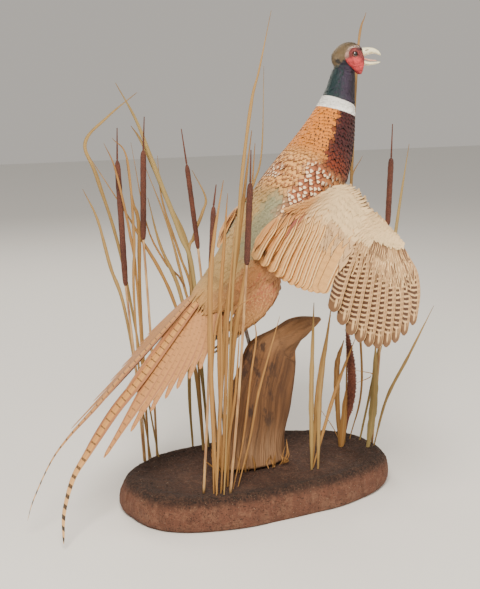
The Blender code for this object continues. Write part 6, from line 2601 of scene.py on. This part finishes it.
# ---------------------------------------------------------------- bare parts
@dataclass
class Face:
    """Bill, tongue, eyes and wattles."""

    # forward, rise of the middle, half width, up, down
    upper: tuple = ((0.0205, 0.0044, 0.0082, 0.0072, 0.0058), (0.0226, 0.0052, 0.0080, 0.0066, 0.0062),
                    (0.0300, 0.0066, 0.0070, 0.0056, 0.0046), (0.0380, 0.0066, 0.0052, 0.0042, 0.0034),
                    (0.0440, 0.0042, 0.0032, 0.0032, 0.0026), (0.0468, 0.0022, 0.0014, 0.0018, 0.0016))
    upper_tip: tuple = (0.0480, 0.0, 0.0004)
    lower: tuple = ((0.0205, -0.0090, 0.0070, 0.0030, 0.0038), (0.0226, -0.0095, 0.0068, 0.0028, 0.0036),
                    (0.0300, -0.0106, 0.0060, 0.0022, 0.0032), (0.0380, -0.0102, 0.0048, 0.0016, 0.0024),
                    (0.0450, -0.0092, 0.0026, 0.0010, 0.0014))
    lower_tip: tuple = (0.0482, 0.0, -0.0086)
    tongue: tuple = ((0.0228, -0.0042, 0.0036, 0.0014, 0.0014), (0.0320, -0.0062, 0.0034, 0.0013, 0.0013),
                     (0.0400, -0.0066, 0.0020, 0.0009, 0.0009))
    tongue_tip: tuple = (0.0430, 0.0, -0.0066)
    eye_place: tuple = (0.0082, 0.0128, 0.0022)
    eye_radius: float = 0.0056
    lid_reach: float = 0.0042
    lid_thick: float = 0.0006
    lid_lower: Colour = (0.36, 0.15, 0.13)
    lid_upper: Colour = (0.13, 0.035, 0.035)
    nostril: tuple = ((0.0236, 0.0076, 0.0074), (0.0262, 0.0072, 0.0082), (0.0292, 0.0066, 0.0088))
    # rise, forward, out, half length, half thickness
    wattle: tuple = ((0.0115, 0.0080, 0.0140, 0.0020, 0.0010), (0.0085, 0.0070, 0.0148, 0.0085, 0.0030),
                     (0.0010, 0.0070, 0.0158, 0.0135, 0.0036), (-0.0080, 0.0090, 0.0155, 0.0130, 0.0042),
                     (-0.0160, 0.0125, 0.0135, 0.0090, 0.0042), (-0.0220, 0.0155, 0.0120, 0.0050, 0.0032),
                     (-0.0265, 0.0170, 0.0112, 0.0014, 0.0010))
    least_reach: float = 0.0074
    lip_depth: float = 0.0016
    bead_height: float = 0.00034
    cheek: Colour = (0.92, 0.085, 0.095)
    gape: Colour = (0.36, 0.035, 0.045)
    round_eye: Colour = (0.25, 0.036, 0.036)
    beads: Colour = (0.60, 0.28, 0.24)
    lore: Colour = (0.10, 0.022, 0.028)
    brow: Colour = (0.60, 0.36, 0.30)

    def build(self) -> None:
        """Makes every bare part of the head."""
        horn = Horn("bill_horn", 0.35)
        flesh = Horn("tongue_flesh", 0.45, (0.62, 0.34, 0.27), (0.40, 0.16, 0.13))
        for name, rows, tip, finish, slot, node in (
                ("bill_top", self.upper, self.upper_tip, horn, "bill_horn", "bill_upper"),
                ("bill_under", self.lower, self.lower_tip, horn, "bill_horn", "bill_lower"),
                ("tongue_blade", self.tongue, self.tongue_tip, flesh, "tongue", "tongue")):
            ride(link(name, self.shell(name, rows, tip), finish), slot, node)
        for hand in Hand:
            self.eye(hand)
            self.lobe(hand)
            self.lid(hand)
            self.slit(hand)

    def shell(self, name: str, rows: Sequence[Sequence[float]], tip: Sequence[float]) -> bpy.types.Mesh:
        """Smooth tapered form along the bill.

        Args:
            name: the mesh's name.
            rows: forward, rise of the middle, half width, up and down.
            tip: forward, left and up of the tip.

        Returns:
            The mesh.
        """
        rows = np.array(rows)
        fine = curve_through(rows[:, :3], np.linspace(0, 1, 26))
        rest = curve_through(np.stack([rows[:, 3], rows[:, 4], rows[:, 2]], -1), np.linspace(0, 1, 26))
        turns = np.linspace(0, 2 * math.pi, 28, endpoint=False)
        rings = []
        for (f, rise, half), (up, down, _) in zip(fine, rest):
            c = np.cos(turns)
            tall = np.where(c > 0, np.abs(c) ** 0.9 * up, -np.abs(c) ** 0.9 * down)
            rings.append(PLAN.on_head(np.stack([np.full(28, f), half * np.sin(turns), rise + tall], -1)))
        return loft(name, rings, None, PLAN.on_head(tip))

    def socket(self, hand: Hand) -> tuple[np.ndarray, ...]:
        """The eye's middle, its axis, and the ways forward and down across it.

        Args:
            hand: the side.

        Returns:
            The middle, the axis and the two ways.
        """
        f, l, u = self.eye_place
        axis = unit(PLAN.head_way((0.22, hand.value, 0.05)))
        first = unit(np.cross(axis, UP))
        return PLAN.on_head((f, l * hand.value, u)), axis, first, np.cross(axis, first)

    def lid(self, hand: Hand) -> None:
        """Fleshy lids round the glass eye, the upper one heavier.

        Args:
            hand: the side.
        """
        middle, axis, first, second = self.socket(hand)
        around = np.linspace(0, 2 * math.pi, 12, endpoint=False)
        rings = []
        for turn in np.linspace(0, 2 * math.pi, 48, endpoint=False):
            way = first * math.cos(turn) + second * math.sin(turn)
            reach = self.lid_reach * (1 - 0.16 * abs(math.sin(turn)))
            thick = self.lid_thick * (1 + 0.5 * max(0.0, -math.sin(turn)))
            height = math.sqrt(self.eye_radius ** 2 - reach ** 2) + 0.0006
            rings.append(middle + axis * height + way * reach
                         + (way * np.cos(around)[:, None] + axis * np.sin(around)[:, None]) * thick)
        mesh = loft("lids", rings, looped=True)
        above = ease((places_of(mesh) - middle) @ -second, -0.0015, 0.0015)
        colour_in(mesh, blend(np.tile(self.lid_lower, (len(above), 1)), np.array(self.lid_upper), above))
        ride(link(f"eyelids_{hand.side}", mesh, BARE_SKIN), "bare_skin")

    def slit(self, hand: Hand) -> None:
        """Dark nostril at the foot of the bill: painted shade of the opening under its flap.

        Args:
            hand: the side.
        """
        path = PLAN.on_head(curve_through(self.nostril, np.linspace(0, 1, 12)) * (1, hand.value, 1))
        girth = 0.0008 * np.sin(np.linspace(0.5, 2.8, 12))
        name = f"nostril_{hand.side}"
        # the nostril's dark colour is painted shade of the opening
        dark = Horn("nostril_horn", 0.6, (0.20, 0.14, 0.08), (0.08, 0.05, 0.03))
        ride(link(name, tube(name, path, girth, 10), dark), "bill_horn")

    def eye(self, hand: Hand) -> None:
        """Glass eye with its iris mapped out from the pupil.

        Args:
            hand: the side.
        """
        middle, axis, first, second = self.socket(hand)
        rings, turns = [], np.linspace(0, 2 * math.pi, 32, endpoint=False)
        tilts = np.linspace(0.06, math.pi - 0.06, 24)
        for tilt in tilts:
            r = self.eye_radius
            rings.append(middle + axis * (r * math.cos(tilt)) + (first * np.cos(turns)[:, None]
                         + second * np.sin(turns)[:, None]) * (r * math.sin(tilt)))
        mesh = loft("eye", rings, middle + axis * self.eye_radius, middle - axis * self.eye_radius)
        layer = mesh.uv_layers.new(name="vane")
        for loop in mesh.loops:
            gap = unit(np.array(mesh.vertices[loop.vertex_index].co) - middle)
            out = math.acos(float(np.clip(gap @ axis, -1, 1))) / (math.pi / 2)
            round_axis = math.atan2(gap @ first, gap @ second) / FULL_TURN + 0.5
            layer.data[loop.index].uv = (out, round_axis)
        finish = GlassEye("eye_glass", 0.05)
        ride(link(f"glass_eye_{hand.side}", mesh, finish), "eye_glass", f"eye_{hand.side}")

    def lobe(self, hand: Hand) -> None:
        """Red wattle round the eye and down the cheek, open over the eye.

        Args:
            hand: the side.
        """
        table = np.array(self.wattle)[::-1]
        rise, fore, out, half, thick = table.T
        rim = np.concatenate([np.stack([fore + half, rise], -1), np.stack([fore - half, rise], -1)[::-1]])
        eye = np.array([self.eye_place[0], self.eye_place[2]])
        gap = rim - eye
        way = np.arctan2(gap[:, 1], gap[:, 0])
        order = np.argsort(way)
        turns = np.linspace(-math.pi, math.pi, 72, endpoint=False)
        reach = np.interp(turns, way[order], np.linalg.norm(gap, axis=1)[order], period=2 * math.pi)
        reach = np.maximum(reach, self.least_reach)
        rings = []
        # out to the rim over the front, and back under it
        shares = np.concatenate([np.linspace(0, 1, 15), np.linspace(1, 0, 7)])
        for k, share in enumerate(shares):
            near = self.eye_radius * 0.72
            radius = near + (reach - near) * share
            flat = eye + np.stack([np.cos(turns), np.sin(turns)], -1) * radius[:, None]
            middle, deep, c, h = (np.interp(flat[:, 1], rise, row) for row in (out, thick, fore, half))
            dome = np.sqrt(np.clip(1 - (np.abs(flat[:, 0] - c) / np.maximum(h, 1e-4)) ** 2, 0.0, 1))
            if k < 15:
                lip = self.lip_depth * max(0.0, 1 - share / 0.12) ** 2
                bead = self.bead_height * np.sin(flat[:, 0] * 3300) * np.sin(flat[:, 1] * 3700)
                height = middle + deep * dome * 0.92 - lip + bead * (share < 0.95)
            else:
                height = middle - deep * dome * 0.9 - 0.0006
            spot = np.stack([flat[:, 0], height * hand.value, flat[:, 1]], -1)
            rings.append(PLAN.on_head(spot))
        mesh = loft("wattle", rings, looped=True)
        colour_in(mesh, self.flush(places_of(mesh)))
        ride(link(f"red_wattle_{hand.side}", mesh, BARE_SKIN), "bare_skin", f"wattle_{hand.side}")

    def flush(self, points: np.ndarray) -> np.ndarray:
        """Colours of the wattle: red on the cheek, dark with pale beads round the eye.

        Args:
            points: places on the wattle.

        Returns:
            A colour for each place.
        """
        f, _, u = PLAN.from_head(points).T
        ahead, rise = f - self.eye_place[0], u - self.eye_place[2]
        turn = np.degrees(np.arctan2(rise, ahead)) % 360
        mottle = np.sin(f * 2100 + np.sin(u * 1500) * 2) * np.sin(u * 1900 + 1)
        above = ease(u + mottle * 0.0012, -0.006, 0.001)
        brow = ease(np.hypot(ahead, rise), 0.0088, 0.0100) * ease(turn, 92, 108) * (1 - ease(turn, 196, 214))
        colour = np.tile(self.cheek, (len(f), 1))
        for coat, share in ((self.gape, ease(f, 0.015, 0.021) * ease(u, -0.016, -0.002)),
                            (self.round_eye, above * 0.9),
                            (self.beads, above * ease(mottle, 0.35, 0.7) * 0.5),
                            (self.lore, ease(u, 0.0050, 0.0090) * ease(f, 0.006, 0.013)),
                            (self.brow, brow)):
            colour = blend(colour, np.array(coat), share)
        return colour


@dataclass
class Legs:
    """Shanks folded back under the belly, and the rod beside them: the solids themselves."""

    scale: Finish = LegScale("leg_scale", 0.6)
    steel: Finish = Steel("steel", 0.4)

    def build(self) -> None:
        """Dresses the leg solids and the rod with their own finishes."""
        for name, finish in (("leg_left", self.scale), ("leg_right", self.scale),
                             ("support_rod", self.steel)):
            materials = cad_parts[name].data.materials
            materials.clear()
            materials.append(finish.material())


# ---------------------------------------------------------------- studio
@dataclass
class Studio:
    """Pale floor, soft lights and the camera."""

    eye: tuple = (-0.723, -1.301, 0.624)
    forward: tuple = (0.459, 0.864, -0.208)
    lens: float = 63.2
    floor_half: float = 6.0
    floor_thick: float = 0.004
    aim: tuple = (0.0, 0.0, 0.35)

    def build(self) -> None:
        """Sets the floor, the lights and the camera."""
        corners = [(x * self.floor_half, y * self.floor_half, z) for z in (-self.floor_thick, 0)
                   for x, y in ((-1, -1), (1, -1), (1, 1), (-1, 1))]
        faces = [(0, 1, 2, 3), (4, 5, 6, 7), (0, 1, 5, 4), (1, 2, 6, 5), (2, 3, 7, 6), (3, 0, 4, 7)]
        floor = solid("floor", np.array(corners, float), faces, False)
        paper = bpy.data.materials.new("studio_paper")
        paper.use_nodes = True
        shader = paper.node_tree.nodes["Principled BSDF"].inputs
        shader["Base Color"].default_value = (0.78, 0.77, 0.75, 1)
        shader["Roughness"].default_value = 0.9
        piece = link("studio_floor", floor)
        floor.materials.append(paper)
        world = bpy.data.worlds.new("studio_air")
        bpy.context.scene.world = world
        world.use_nodes = True
        air = world.node_tree.nodes["Background"].inputs
        air["Color"].default_value = (1.0, 0.94, 0.86, 1)
        air["Strength"].default_value = 0.52
        self.light("key", (-1.0, -1.5, 2.1), 1.0, 108)
        self.light("fill", (1.9, -1.2, 1.3), 1.6, 24)
        self.light("rim", (0.2, 2.0, 1.8), 1.2, 26)
        self.camera()

    def light(self, name: str, place: Sequence[float], size: float, power: float) -> None:
        """A square soft light turned to the bird.

        Args:
            name: its name.
            place: where it is.
            size: its width.
            power: its power in watts.
        """
        lamp = bpy.data.lights.new(name, "AREA")
        lamp.size, lamp.energy, lamp.color = size, power, (1.0, 0.92, 0.80)
        piece = bpy.data.objects.new(name, lamp)
        bpy.context.scene.collection.objects.link(piece)
        piece.location = place
        way = Vector(self.aim) - Vector(place)
        piece.rotation_euler = way.to_track_quat("-Z", "Y").to_euler()

    def camera(self) -> None:
        """The camera, level from side to side and 12 degrees down."""
        made = bpy.data.cameras.new("camera")
        made.lens, made.sensor_width = self.lens, 36.0
        made.clip_start, made.clip_end = 0.02, 40.0
        piece = bpy.data.objects.new("camera", made)
        bpy.context.scene.collection.objects.link(piece)
        piece.location = self.eye
        piece.rotation_euler = Vector(self.forward).to_track_quat("-Z", "Y").to_euler()
        bpy.context.scene.camera = piece


def main() -> None:
    """Builds the mount from the ground up."""
    logging.basicConfig(level=logging.INFO, format="%(message)s")
    Studio().build()
    EarthBase().build()
    Stump().build()
    Reeds().build()
    flesh = Flesh()
    flesh.build()
    Coat(flesh).build()
    Wings().build()
    Tail().build()
    Face().build()
    Legs().build()


if __name__ == "__main__":
    main()
